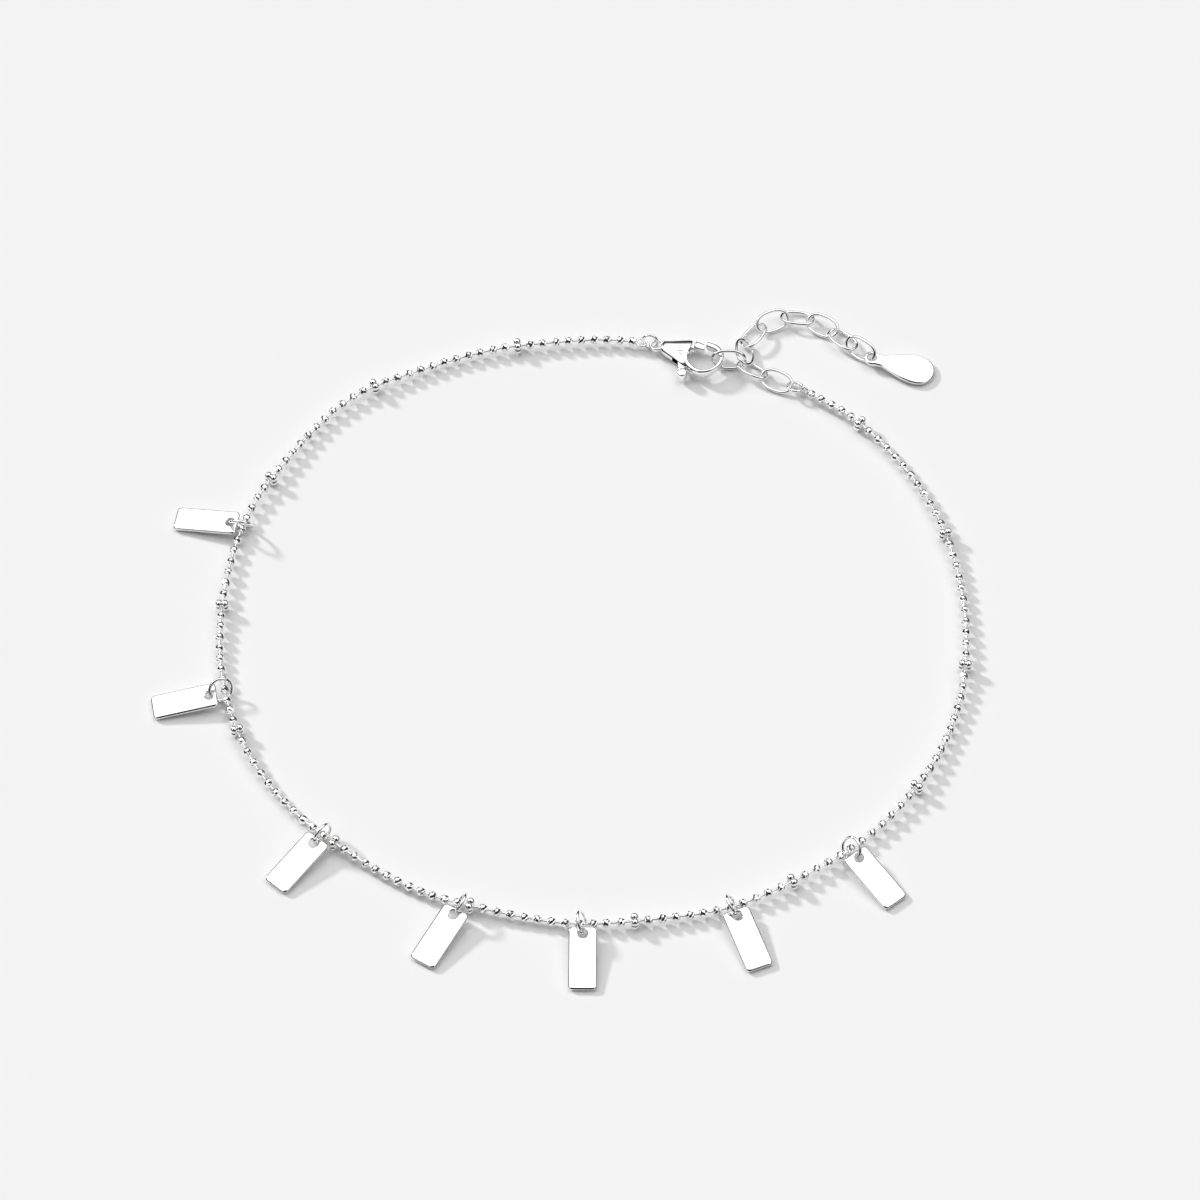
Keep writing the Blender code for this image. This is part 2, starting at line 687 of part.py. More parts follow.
def clasp_matrix() -> Matrix:
    """Return the clasp's placement, with its thickness centred."""
    origin = Vector((CLASP_TAIL_X, CLASP_TAIL_Y, CLASP_THICKNESS / 2.0 + REST_GAP))
    return frame_matrix(origin, CLASP_HEADING, CLASP_SLOPE)


def scaled(points: list, centre: tuple = (0.0, 0.0)) -> list:
    """Return the clasp's outline points in metres, counted from a centre."""
    return [((x - centre[0]) * CLASP_LENGTH, (y - centre[1]) * CLASP_LENGTH) for x, y in points]


def clasp_point(share: tuple) -> Vector:
    """Return a place on the clasp's middle plane in its own frame."""
    return Vector((share[0] * CLASP_LENGTH, share[1] * CLASP_LENGTH, 0.0))


def cylinder_mesh(name: str, diameter: float, length: float, place: Vector,
                  group: bpy.types.Collection) -> bpy.types.Object:
    """Return an upright cylinder."""
    work = bmesh.new()
    bmesh.ops.create_cone(work, cap_ends=True, segments=PIN_POINTS, radius1=diameter / 2.0,
                          radius2=diameter / 2.0, depth=length)
    mesh = bpy.data.meshes.new(name)
    work.to_mesh(mesh)
    work.free()
    obj = bpy.data.objects.new(name, mesh)
    obj.matrix_world = clasp_matrix() @ Matrix.Translation(place)
    group.objects.link(obj)
    return obj


def build_clasp(group: bpy.types.Collection, cutters: bpy.types.Collection,
                metal: bpy.types.Material) -> None:
    """Build the lobster clasp's body with its slot and pin, and the lever on the pin."""
    outline = scaled(CLASP_FAR_EDGE + CLASP_EYE_ARC + CLASP_OUTER_ARC)
    curve = flat_curve("clasp_body", [outline], CLASP_THICKNESS, CLASP_EDGE)
    body = new_object("clasp_body", curve, group, None)
    body.matrix_world = clasp_matrix()
    body = to_mesh(body, group)
    body.data.materials.clear()
    body.data.materials.append(metal)

    slot_depth = LEVER_THICKNESS + 2.0 * LEVER_SIDE_CLEARANCE
    slot = new_object("slot", flat_curve("slot", [scaled(SLOT_OUTLINE)], slot_depth), cutters, None)
    slot.matrix_world = clasp_matrix()
    add_boolean(body, to_mesh(slot, cutters), "DIFFERENCE")

    pivot = clasp_point(PIVOT)
    pin_length = (CLASP_THICKNESS + slot_depth) / 2.0
    add_boolean(body, cylinder_mesh("pin", PIVOT_PIN_DIAMETER, pin_length, pivot, cutters), "UNION")

    eye_place = clasp_point(TAIL_EYE)
    eye_disc = circle_points(TAIL_EYE_DIAMETER, HOLE_POINTS, eye_place.xy)
    eye = new_object("tail_eye", flat_curve("tail_eye", [eye_disc], TAIL_THICKNESS), cutters, None)
    eye.matrix_world = clasp_matrix()
    add_boolean(body, to_mesh(eye, cutters), "UNION")
    bore = cylinder_mesh("tail_hole", TAIL_HOLE_DIAMETER, 2.0 * CLASP_THICKNESS, eye_place, cutters)
    add_boolean(body, bore, "DIFFERENCE")

    bore_diameter = PIVOT_PIN_DIAMETER + 2.0 * PIVOT_CLEARANCE
    bore_points = circle_points(bore_diameter, PIN_POINTS)
    lever_curve = flat_curve("clasp_lever", [scaled(LEVER_OUTLINE, PIVOT), bore_points],
                             LEVER_THICKNESS)
    lever = new_object("clasp_lever", lever_curve, group, None)
    lever.matrix_world = clasp_matrix() @ Matrix.Translation(pivot)
    lever = to_mesh(lever, group)
    lever.data.materials.clear()
    lever.data.materials.append(metal)
    gate_curve = flat_curve("gate", [scaled(GATE_OUTLINE)], GATE_THICKNESS)
    gate = new_object("gate", gate_curve, cutters, None)
    gate.matrix_world = clasp_matrix()
    add_boolean(lever, to_mesh(gate, cutters), "UNION")
    tab = cylinder_mesh("thumb_tab", THUMB_TAB_DIAMETER, THUMB_TAB_LENGTH,
                        clasp_point(THUMB_TAB), cutters)
    add_boolean(lever, tab, "UNION")


def clasp_ring(strand: Strand) -> Wire:
    """Return the ring that joins the strand's first loop to the clasp's tail."""
    radius = (CLASP_RING_DIAMETER - CLASP_RING_WIRE) / 2.0
    eye = clasp_matrix() @ clasp_point(TAIL_EYE)
    start = strand.place(0) - strand.tangent(0) * strand.lead
    middle = (eye + start) / 2.0
    middle.z = CLASP_RING_DIAMETER / 2.0 + REST_GAP
    heading = math.atan2(eye.y - start.y, eye.x - start.x)
    return Wire("clasp_ring", circle_points(2.0 * radius, RING_POINTS), CLASP_RING_WIRE,
                (*middle, heading, 0.0, math.pi / 2.0))


def link_corners() -> list:
    """Return points round an oval link's middle line."""
    half_length = (LINK_LENGTH - LINK_WIRE) / 2.0
    half_width = (LINK_WIDTH - LINK_WIRE) / 2.0
    straight = half_length - half_width
    points = []
    for side in (1.0, -1.0):
        for step in range(LINK_POINTS // 2):
            turn = math.pi * (step / (LINK_POINTS // 2 - 1) - 0.5)
            points.append((side * (straight + half_width * math.cos(turn)),
                           side * half_width * math.sin(turn)))
    return points


def extender_wires(strand: Strand) -> list:
    """Return the extender's ring and its oval links at their chosen places."""
    radius = (EXTENDER_RING_DIAMETER - EXTENDER_RING_WIRE) / 2.0
    finish = strand.place(strand.count - 1) + strand.tangent(strand.count - 1) * strand.lead
    first_x, first_y = LINK_PLACES[0][0] * MM, LINK_PLACES[0][1] * MM
    heading = math.atan2(first_y - finish.y, first_x - finish.x)
    reach = EXTENDER_RING_REACH * radius
    centre = finish + Vector((math.cos(heading), math.sin(heading), 0.0)) * reach
    lean = math.radians(EXTENDER_RING_LEAN)
    slope = math.radians(EXTENDER_RING_SLOPE)
    centre.z = radius * math.sin(slope) + EXTENDER_RING_WIRE / 2.0 + REST_GAP
    wires = [Wire("extender_ring", circle_points(2.0 * radius, RING_POINTS),
                  EXTENDER_RING_WIRE, (*centre, heading, slope, lean))]
    half_width = (LINK_WIDTH - LINK_WIRE) / 2.0
    for number, (x, y, turn, roll, lift) in enumerate(LINK_PLACES, start=1):
        height = half_width * abs(math.sin(math.radians(roll))) + LINK_WIRE / 2.0 + REST_GAP
        pose = (x * MM, y * MM, height + lift * MM, math.radians(turn), 0.0, math.radians(roll))
        wires.append(Wire(f"extender_link_{number:02d}", link_corners(), LINK_WIRE, pose))
    return wires


def end_tag_matrix() -> Matrix:
    """Return the end tag's placement, with its hole at the origin."""
    x, y, heading, slope = END_TAG_PLACE
    rise = (END_TAG_LENGTH - END_TAG_HOLE_INSET) * math.sin(math.radians(slope))
    spot = Vector((x * MM, y * MM, rise + END_TAG_THICKNESS / 2.0 + REST_GAP))
    return frame_matrix(spot, heading, slope)


def build_end_tag(group: bpy.types.Collection, metal: bpy.types.Material) -> None:
    """Build the teardrop end tag."""
    hole = circle_points(END_TAG_HOLE_DIAMETER, HOLE_POINTS)
    curve = flat_curve("end_tag", [end_tag_outline(), hole], END_TAG_THICKNESS)
    new_object("end_tag", curve, group, metal).matrix_world = end_tag_matrix()


def build_wires(strand: Strand, group: bpy.types.Collection, metal: bpy.types.Material) -> None:
    """Settle every ring and link, and build them."""
    wires = end_loops(strand) + tag_rings(strand) + [clasp_ring(strand)]
    wires += extender_wires(strand)
    clouds = [clasp_cloud()]
    for place in TAG_PLACES:
        clouds.append(plate_cloud(tag_outline(), TAG_HOLE_DIAMETER, TAG_THICKNESS,
                                  tag_matrix(place)))
    clouds.append(plate_cloud(end_tag_outline(), END_TAG_HOLE_DIAMETER, END_TAG_THICKNESS,
                              end_tag_matrix()))
    settle(wires, strand, clouds)
    for wire in wires:
        if not wire.fixed:
            corners = [(x, y, 0.0) for x, y in wire.corners]
            curve = wire_curve(wire.name, corners, wire.wire, True, 1)
            new_object(wire.name, curve, group, metal).matrix_world = wire.matrix()


def end_tag_outline() -> list:
    """Return the teardrop's outline: round head, slight neck, wide round foot."""
    head = END_TAG_HEAD_WIDTH / 2.0
    neck = END_TAG_NECK_WIDTH / 2.0
    foot = END_TAG_WIDTH / 2.0
    start = -END_TAG_HOLE_INSET
    end = END_TAG_LENGTH - END_TAG_HOLE_INSET
    upper = []
    for step in range(5):
        turn = math.pi * (1.0 - step / 6.0)
        upper.append((start + head + head * math.cos(turn), head * math.sin(turn)))
    throat = start + END_TAG_THROAT * head
    middle = end - foot
    upper.append((throat, neck))
    for share in END_TAG_SIDE_SHARES:
        swell = math.sin(share * math.pi / 2.0) ** END_TAG_SWELL
        upper.append((throat + (middle - throat) * share, neck + (foot - neck) * swell))
    for step in range(7):
        turn = math.pi / 2.0 * (1.0 - step / 6.0)
        upper.append((middle + foot * math.cos(turn), foot * math.sin(turn)))
    lower = [(x, -y) for x, y in reversed(upper[1:-1])]
    return upper + lower


def centre_model(group: bpy.types.Collection) -> None:
    """Parent every piece to an empty that stands the model on its box's bottom centre."""
    bpy.context.view_layer.update()
    graph = bpy.context.evaluated_depsgraph_get()
    corners = []
    for obj in group.objects:
        shown = obj.evaluated_get(graph)
        mesh = shown.to_mesh()
        corners += [shown.matrix_world @ v.co for v in mesh.vertices]
        shown.to_mesh_clear()
    low = [min(c[k] for c in corners) for k in range(3)]
    high = [max(c[k] for c in corners) for k in range(3)]
    anchor = bpy.data.objects.new("bracelet_origin", None)
    pieces = list(group.objects)
    group.objects.link(anchor)
    anchor.location = (-(low[0] + high[0]) / 2.0, -(low[1] + high[1]) / 2.0, -low[2])
    for obj in pieces:
        obj.parent = anchor
    cutters = {m.object for obj in pieces for m in obj.modifiers if m.type == "BOOLEAN"}
    for obj in cutters:
        obj.parent = anchor


def shade(group: bpy.types.Collection) -> None:
    """Shade the round mesh pieces smooth."""
    for obj in group.objects:
        if obj.type == "MESH":
            obj.data.shade_smooth()
            obj.data.set_sharp_from_angle(angle=math.radians(35.0))


def main() -> None:
    """Build the bracelet."""
    clear_scene()
    group = make_collection("chain_bracelet")
    cutters = make_collection("cutters")
    silver = make_material("polished_silver", (0.83, 0.83, 0.84), 0.12)
    strand = Strand()
    build_strand(strand, group, cutters, silver)
    build_accents(strand, group, silver)
    build_tags(group, silver)
    build_clasp(group, cutters, silver)
    build_wires(strand, group, silver)
    build_end_tag(group, silver)
    shade(group)
    centre_model(group)


main()
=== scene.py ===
"""Fine surfaces, finishes, floor, light and camera of a polished silver chain bracelet.

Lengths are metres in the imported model's frame. MM turns a size given in millimetres into metres.
"""

import json
import logging
import math
from dataclasses import dataclass, field
from enum import Enum

import bpy
import numpy as np
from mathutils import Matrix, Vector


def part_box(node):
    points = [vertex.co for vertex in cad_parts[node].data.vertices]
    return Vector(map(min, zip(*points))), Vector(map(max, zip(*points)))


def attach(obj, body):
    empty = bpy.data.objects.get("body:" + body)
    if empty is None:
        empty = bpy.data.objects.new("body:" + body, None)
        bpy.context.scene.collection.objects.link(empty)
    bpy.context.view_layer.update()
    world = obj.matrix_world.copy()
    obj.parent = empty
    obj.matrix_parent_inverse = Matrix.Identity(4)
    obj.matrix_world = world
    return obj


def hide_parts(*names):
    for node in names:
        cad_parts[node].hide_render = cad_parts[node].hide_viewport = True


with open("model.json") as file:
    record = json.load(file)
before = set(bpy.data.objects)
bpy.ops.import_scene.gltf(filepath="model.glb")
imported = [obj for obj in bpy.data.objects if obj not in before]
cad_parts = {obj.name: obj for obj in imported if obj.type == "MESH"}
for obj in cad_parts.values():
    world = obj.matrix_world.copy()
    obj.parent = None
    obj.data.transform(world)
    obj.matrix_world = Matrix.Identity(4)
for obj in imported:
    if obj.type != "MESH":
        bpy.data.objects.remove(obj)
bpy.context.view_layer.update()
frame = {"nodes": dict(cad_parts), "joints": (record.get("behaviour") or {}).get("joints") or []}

MM = 0.001
UP = np.array([0.0, 0.0, 1.0])
QUARTER = 90.0
COLOUR_A = 6
COLOUR_B = 7
COLOUR_RESULT = 2

log = logging.getLogger("bracelet")


class Body(Enum):
    """The two rigid bodies that pieces ride on."""

    BRACELET = "bracelet"
    LEVER = "lever"


class Shading(Enum):
    """How a piece's faces meet: cut facets, or round with sharp edges past an angle."""

    FACETS = 0.0
    ROUND = 180.0
    EDGED = 38.0


@dataclass
class Shell:
    """A closed surface, or several alike, given as points on a grid.

    The points have the shape (copies, rows, columns, 3). Columns always wrap round. Rows wrap
    round too, or else the first and last row are each closed by one flat face.
    """

    points: np.ndarray
    wrap_rows: bool = False

    def __post_init__(self) -> None:
        """Give a single grid its axis of copies."""
        if self.points.ndim == 3:
            self.points = self.points[None]

    def quads(self) -> np.ndarray:
        """Return the grid's faces.

        Returns:
            Rows of four vertex numbers. Each face joins a point to the next in its row, and
            both to the same places in the row after it.
        """
        copies, rows, columns = self.points.shape[:3]
        last = rows if self.wrap_rows else rows - 1
        row, column = np.meshgrid(np.arange(last), np.arange(columns), indexing="ij")
        after = (row + 1) % rows
        beside = (column + 1) % columns
        corners = [row * columns + column, after * columns + column,
                   after * columns + beside, row * columns + beside]
        one = np.stack(corners, axis=-1).reshape(-1, 4)
        starts = np.arange(copies)[:, None, None] * rows * columns
        return (one[None] + starts).reshape(-1, 4)

    def faces(self, first: int) -> list[list[int]]:
        """Return all faces, pointing outwards.

        The volume under the first copy's faces, from the sum of each triangle's triple product
        about the copy's middle, is positive where they point outwards. Where it is negative,
        all faces are turned round.

        Args:
            first: The number of the shell's first vertex in its mesh.

        Returns:
            Lists of vertex numbers: the grid's faces, then the flat faces that close the first
            and the last row of each copy.
        """
        copies, rows, columns = self.points.shape[:3]
        groups = [self.quads()]
        if not self.wrap_rows:
            edge = np.arange(columns)
            starts = np.arange(copies)[:, None] * rows * columns
            groups += [edge + starts, edge[::-1] + (rows - 1) * columns + starts]
        flat = self.points[0].reshape(-1, 3)
        flat = flat - flat.mean(axis=0)
        own = groups[0][:len(groups[0]) // copies]
        a, b, c, d = (flat[own[:, k]] for k in range(4))
        volume = np.einsum("ij,ij->", a, np.cross(b, c) + np.cross(c, d))
        step = -1 if volume < 0.0 else 1
        return [face for group in groups for face in (group[:, ::step] + first).tolist()]


def make_mesh(name: str, shells: list[Shell], shading: Shading) -> bpy.types.Mesh:
    """Put shells into one mesh.

    Args:
        name: The mesh's name.
        shells: The closed surfaces.
        shading: How the faces meet.

    Returns:
        The mesh.
    """
    points = [shell.points.reshape(-1, 3) for shell in shells]
    firsts = np.cumsum([0] + [len(own) for own in points]).tolist()
    faces = [face for shell, first in zip(shells, firsts) for face in shell.faces(first)]
    mesh = bpy.data.meshes.new(name)
    mesh.from_pydata(np.concatenate(points).tolist(), [], faces)
    shade(mesh, shading)
    return mesh


def shade(mesh: bpy.types.Mesh, shading: Shading) -> None:
    """Shade a mesh by facets or smooth with sharp edges.

    Args:
        mesh: The mesh.
        shading: How its faces meet.
    """
    if shading is Shading.FACETS:
        mesh.shade_flat()
        return
    mesh.shade_smooth()
    mesh.set_sharp_from_angle(angle=math.radians(shading.value))


def put_piece(name: str, mesh: bpy.types.Mesh, material: bpy.types.Material, node: str,
              body: Body = Body.BRACELET) -> None:
    """Show a mesh as a piece of the bracelet.

    Args:
        name: The piece's name.
        mesh: Its mesh, in the model's frame.
        material: Its finish.
        node: The node that it stands for.
        body: The body that it rides on.
    """
    mesh.materials.clear()
    mesh.materials.append(material)
    piece = bpy.data.objects.new(name, mesh)
    bpy.context.scene.collection.objects.link(piece)
    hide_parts(node)
    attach(piece, body.value)
    log.info("%s: %d faces", name, len(mesh.polygons))


def unit(vectors: np.ndarray) -> np.ndarray:
    """Return vectors at length one."""
    return vectors / np.linalg.norm(vectors, axis=-1, keepdims=True)


def turns(count: int, start: float = 0.0) -> np.ndarray:
    """Return evenly spaced angles once round, from a start."""
    return start + 2.0 * math.pi * np.arange(count) / count


def rounded(values: np.ndarray, squareness: float) -> np.ndarray:
    """Return sines or cosines to the power 2 over a squareness: past 2 a circle nears a square."""
    return np.sign(values) * np.abs(values) ** (2.0 / squareness)


def mirrored(upper: list[tuple[float, float]]) -> list[tuple[float, float]]:
    """Return a profile of radii and heights with its upper half mirrored below it."""
    return [(r, -h) for r, h in upper[::-1]] + upper


def smooth_line(points: np.ndarray, steps: int) -> np.ndarray:
    """Return a smooth line through points.

    Between two points the line is a cubic whose slope at each is half the step between that
    point's two neighbours, so the line passes through every point without a corner.

    Args:
        points: The points, one a row.
        steps: Samples from each point to the next.

    Returns:
        The samples, ending with the last point.
    """
    padded = np.vstack([2.0 * points[0] - points[1], points, 2.0 * points[-1] - points[-2]])
    a, b, c, d = padded[:-3, None], padded[1:-2, None], padded[2:-1, None], padded[3:, None]
    u = np.linspace(0.0, 1.0, steps, endpoint=False)[None, :, None]
    curve = 0.5 * (2.0 * b + (c - a) * u + (2.0 * a - 5.0 * b + 4.0 * c - d) * u ** 2
                   + (3.0 * b - a - 3.0 * c + d) * u ** 3)
    return np.vstack([curve.reshape(-1, points.shape[1]), points[-1:]])


def about(axes: list[np.ndarray], ahead: np.ndarray, out: np.ndarray | float,
          turn: np.ndarray) -> np.ndarray:
    """Return offsets from a point: a length along a line, and a radius and turn round it.

    Args:
        axes: The line's direction, side and top.
        ahead: Lengths along the line.
        out: Radii.
        turn: Turns from the side towards the top.

    Returns:
        The offsets, in the model's frame.
    """
    run, side, top = axes
    return (ahead[..., None] * run + (out * np.cos(turn))[..., None] * side
            + (out * np.sin(turn))[..., None] * top)


@dataclass
class Placement:
    """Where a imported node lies: its middle and its own three axes, longest first."""

    centre: np.ndarray
    axes: np.ndarray

    @classmethod
    def of_node(cls, node: str) -> "Placement":
        """Find a node's placement from its solid.

        The axes are the principal directions of the node's corners, with the third turned up.
        The first runs away from the side where the corners crowd, such as round a hole.

        Args:
            node: The node's name.

        Returns:
            The placement.
        """
        mesh = frame["nodes"][node].data
        corners = np.empty(len(mesh.vertices) * 3)
        mesh.vertices.foreach_get("co", corners)
        corners = np.unique(np.round(corners.reshape(-1, 3), 6), axis=0)
        middle = corners.mean(axis=0)
        axes = np.linalg.svd(corners - middle, full_matrices=False)[2]
        if axes[2, 2] < 0.0:
            axes[2] = -axes[2]
        local = (corners - middle) @ axes.T
        if local[:, 0].max() < -local[:, 0].min():
            axes[0] = -axes[0]
        axes[1] = np.cross(axes[2], axes[0])
        local = (corners - middle) @ axes.T
        return cls(middle + (local.min(axis=0) + local.max(axis=0)) / 2.0 @ axes, axes)

    def world(self, local: np.ndarray) -> np.ndarray:
        """Return points of the node's own frame in the model's frame."""
        return self.centre + local @ self.axes


def hoop(radii: tuple[float, float], wire: float, squareness: float = 2.0, around: int = 72,
         section: int = 16, cut: float = 0.0, cut_at: float = 0.0) -> Shell:
    """Make a ring or link of round wire in its own flat plane.

    The middle line is (a c, b s), where c and s are the cosine and sine of the turn, pushed out
    towards a square. The wire's section is a circle in the plane of the line's outward normal
    and of the third axis.

    Args:
        radii: Half the length and half the width of the middle line.
        wire: The wire's diameter.
        squareness: 2 for an ellipse, and more towards a rectangle.
        around: Stations round the line.
        section: Points round the wire.
        cut: Width of the fine cut, or 0 for a closed hoop.
        cut_at: The cut's place as a turn.

    Returns:
        The hoop, centred on its own origin.
    """
    if cut > 0.0:
        gap = cut / max(radii)
        turn = np.linspace(cut_at + gap / 2.0, cut_at + 2.0 * math.pi - gap / 2.0, around + 1)
    else:
        turn = turns(around)
    line = np.stack([radii[0] * rounded(np.cos(turn), squareness),
                     radii[1] * rounded(np.sin(turn), squareness)], axis=-1)
    slope = squareness / (squareness - 1.0)
    outward = unit(np.stack([rounded(np.cos(turn), slope) / radii[0],
                             rounded(np.sin(turn), slope) / radii[1]], axis=-1))
    angle = turns(section)
    flat = line[:, None] + outward[:, None] * (wire / 2.0 * np.cos(angle))[None, :, None]
    height = np.broadcast_to(wire / 2.0 * np.sin(angle), flat.shape[:2])
    return Shell(np.concatenate([flat, height[..., None]], axis=-1), wrap_rows=cut <= 0.0)


def new_node(tree: bpy.types.NodeTree, kind: str, values: dict[str | int, object] | None = None,
             **choices: object) -> bpy.types.Node:
    """Add a shader node to a tree.

    Args:
        tree: The tree.
        kind: The node's type without its prefix.
        values: What its input sockets hold, by name or number.
        choices: What its menus say.

    Returns:
        The node.
    """
    node = tree.nodes.new(f"ShaderNode{kind}")
    for name, choice in choices.items():
        setattr(node, name, choice)
    for socket, value in (values or {}).items():
        node.inputs[socket].default_value = value
    return node


@dataclass(frozen=True)
class Polish:
    """One way that the silver is finished."""

    name: str
    bright: tuple[float, float, float] = (0.955, 0.955, 0.95)
    dull: tuple[float, float, float] = (0.86, 0.86, 0.85)
    smooth: float = 0.04
    worn: float = 0.13
    cloud_scale: float = 900.0
    mark_scale: float = 9000.0
    mark_stretch: tuple[float, float, float] = (1.0, 7.0, 1.0)
    wave_scale: float = 260.0
    wave_share: float = 0.85
    relief: float = 0.000004

    def material(self, group: bpy.types.NodeTree) -> bpy.types.Material:
        """Build the finish's material.

        Args:
            group: The shared node group of hand polish.

        Returns:
            A metal whose colour, roughness and relief come from the group.
        """
        material = bpy.data.materials.new(self.name)
        material.use_nodes = True
        tree = material.node_tree
        shader = tree.nodes["Principled BSDF"]
        shader.inputs["Metallic"].default_value = 1.0
        shader.inputs["IOR"].default_value = 1.5
        where = new_node(tree, "TexCoord")
        values = {
            "Bright": (*self.bright, 1.0), "Dull": (*self.dull, 1.0), "Smooth": self.smooth,
            "Worn": self.worn, "Cloud Scale": self.cloud_scale, "Mark Scale": self.mark_scale,
            "Mark Stretch": self.mark_stretch, "Wave Scale": self.wave_scale,
            "Wave Share": self.wave_share,
        }
        polish = new_node(tree, "Group", values, node_tree=group)
        bump = new_node(tree, "Bump", {"Strength": 1.0, "Distance": self.relief})
        tree.links.new(where.outputs["Object"], polish.inputs["Vector"])
        tree.links.new(polish.outputs["Color"], shader.inputs["Base Color"])
        tree.links.new(polish.outputs["Roughness"], shader.inputs["Roughness"])
        tree.links.new(polish.outputs["Height"], bump.inputs["Height"])
        tree.links.new(bump.outputs["Normal"], shader.inputs["Normal"])
        return material


@dataclass(frozen=True)
class PolishGroup:
    """The shared node group of hand-polished silver.

    The cloud is slow noise: where it is high the metal is worn, so duller and rougher. The marks
    are fine noise drawn out along one direction, the hairlines of a polishing cloth. The waves
    are the slow unevenness of a hand-held piece.
    """

    wear: tuple[float, float] = (0.42, 0.74)
    wear_share: float = 0.5
    cloud_detail: float = 3.0
    mark_detail: float = 2.0
    wave_detail: float = 0.0
    vectors: tuple[str, ...] = ("Vector", "Mark Stretch")
    colours: tuple[str, ...] = ("Bright", "Dull")
    numbers: tuple[str, ...] = ("Smooth", "Worn", "Cloud Scale", "Mark Scale", "Wave Scale",
                                "Wave Share")

    def sockets(self, tree: bpy.types.NodeTree) -> None:
        """Give the group its named inputs and outputs.

        Args:
            tree: The group.
        """
        for kind, names in {"Vector": self.vectors, "Color": self.colours,
                            "Float": self.numbers}.items():
            for name in names:
                tree.interface.new_socket(name, in_out="INPUT", socket_type=f"NodeSocket{kind}")
        for name, kind in {"Color": "Color", "Roughness": "Float", "Height": "Float"}.items():
            tree.interface.new_socket(name, in_out="OUTPUT", socket_type=f"NodeSocket{kind}")

    def build(self) -> bpy.types.NodeTree:
        """Build the group.

        The colour goes from bright to dull by the wear. The roughness goes from smooth to worn
        by the wear's share of the wear and the rest of the marks. The height is the waves' share
        of the waves and the rest of the marks.

        Returns:
            The group.
        """
        tree = bpy.data.node_groups.new("hand_polish", "ShaderNodeTree")
        self.sockets(tree)
        link = tree.links.new
        given = tree.nodes.new("NodeGroupInput")
        made = tree.nodes.new("NodeGroupOutput")

        stretch = new_node(tree, "VectorMath", operation="MULTIPLY")
        link(given.outputs["Vector"], stretch.inputs[0])
        link(given.outputs["Mark Stretch"], stretch.inputs[1])
        values = {}
        for name, detail, vector in (("Cloud", self.cloud_detail, given.outputs["Vector"]),
                                     ("Mark", self.mark_detail, stretch.outputs["Vector"]),
                                     ("Wave", self.wave_detail, given.outputs["Vector"])):
            noise = new_node(tree, "TexNoise", {"Detail": detail})
            link(given.outputs[f"{name} Scale"], noise.inputs["Scale"])
            link(vector, noise.inputs["Vector"])
            values[name] = noise.outputs["Fac"]

        wear = new_node(tree, "MapRange", {"From Min": self.wear[0], "From Max": self.wear[1]},
                        interpolation_type="SMOOTHSTEP")
        link(values["Cloud"], wear.inputs["Value"])
        colour = new_node(tree, "Mix", data_type="RGBA")
        link(wear.outputs["Result"], colour.inputs["Factor"])
        link(given.outputs["Bright"], colour.inputs[COLOUR_A])
        link(given.outputs["Dull"], colour.inputs[COLOUR_B])
        link(colour.outputs[COLOUR_RESULT], made.inputs["Color"])

        worn = new_node(tree, "Math", {1: self.wear_share}, operation="MULTIPLY")
        both = new_node(tree, "Math", {1: 1.0 - self.wear_share}, operation="MULTIPLY_ADD")
        link(wear.outputs["Result"], worn.inputs[0])
        link(values["Mark"], both.inputs[0])
        link(worn.outputs["Value"], both.inputs[2])
        mixes = (("Roughness", both.outputs["Value"], given.outputs["Smooth"],
                  given.outputs["Worn"]),
                 ("Height", given.outputs["Wave Share"], values["Mark"], values["Wave"]))
        for name, share, low, high in mixes:
            mix = new_node(tree, "Mix")
            link(share, mix.inputs["Factor"])
            link(low, mix.inputs["A"])
            link(high, mix.inputs["B"])
            link(mix.outputs["Result"], made.inputs[name])
        return tree


@dataclass
class Finishes:
    """The bracelet's materials."""

    sheet: Polish = Polish("sheet_silver", smooth=0.035, worn=0.11, wave_scale=330.0,
                           relief=0.000006, mark_stretch=(1.0, 9.0, 1.0))
    wire: Polish = Polish("wire_silver", smooth=0.05, worn=0.16, cloud_scale=2200.0,
                          mark_scale=14000.0, wave_scale=1500.0, relief=0.000003)
    bead: Polish = Polish("cut_silver", smooth=0.03, worn=0.10, cloud_scale=2600.0,
                          mark_scale=16000.0, wave_scale=1800.0, relief=0.0000015)
    cast: Polish = Polish("cast_silver", smooth=0.05, worn=0.17, cloud_scale=1500.0,
                          mark_scale=11000.0, wave_scale=800.0, relief=0.000005)

    def __post_init__(self) -> None:
        """Build each finish's material once."""
        group = PolishGroup().build()
        self.sheet_material = self.sheet.material(group)
        self.wire_material = self.wire.material(group)
        self.bead_material = self.bead.material(group)
        self.cast_material = self.cast.material(group)


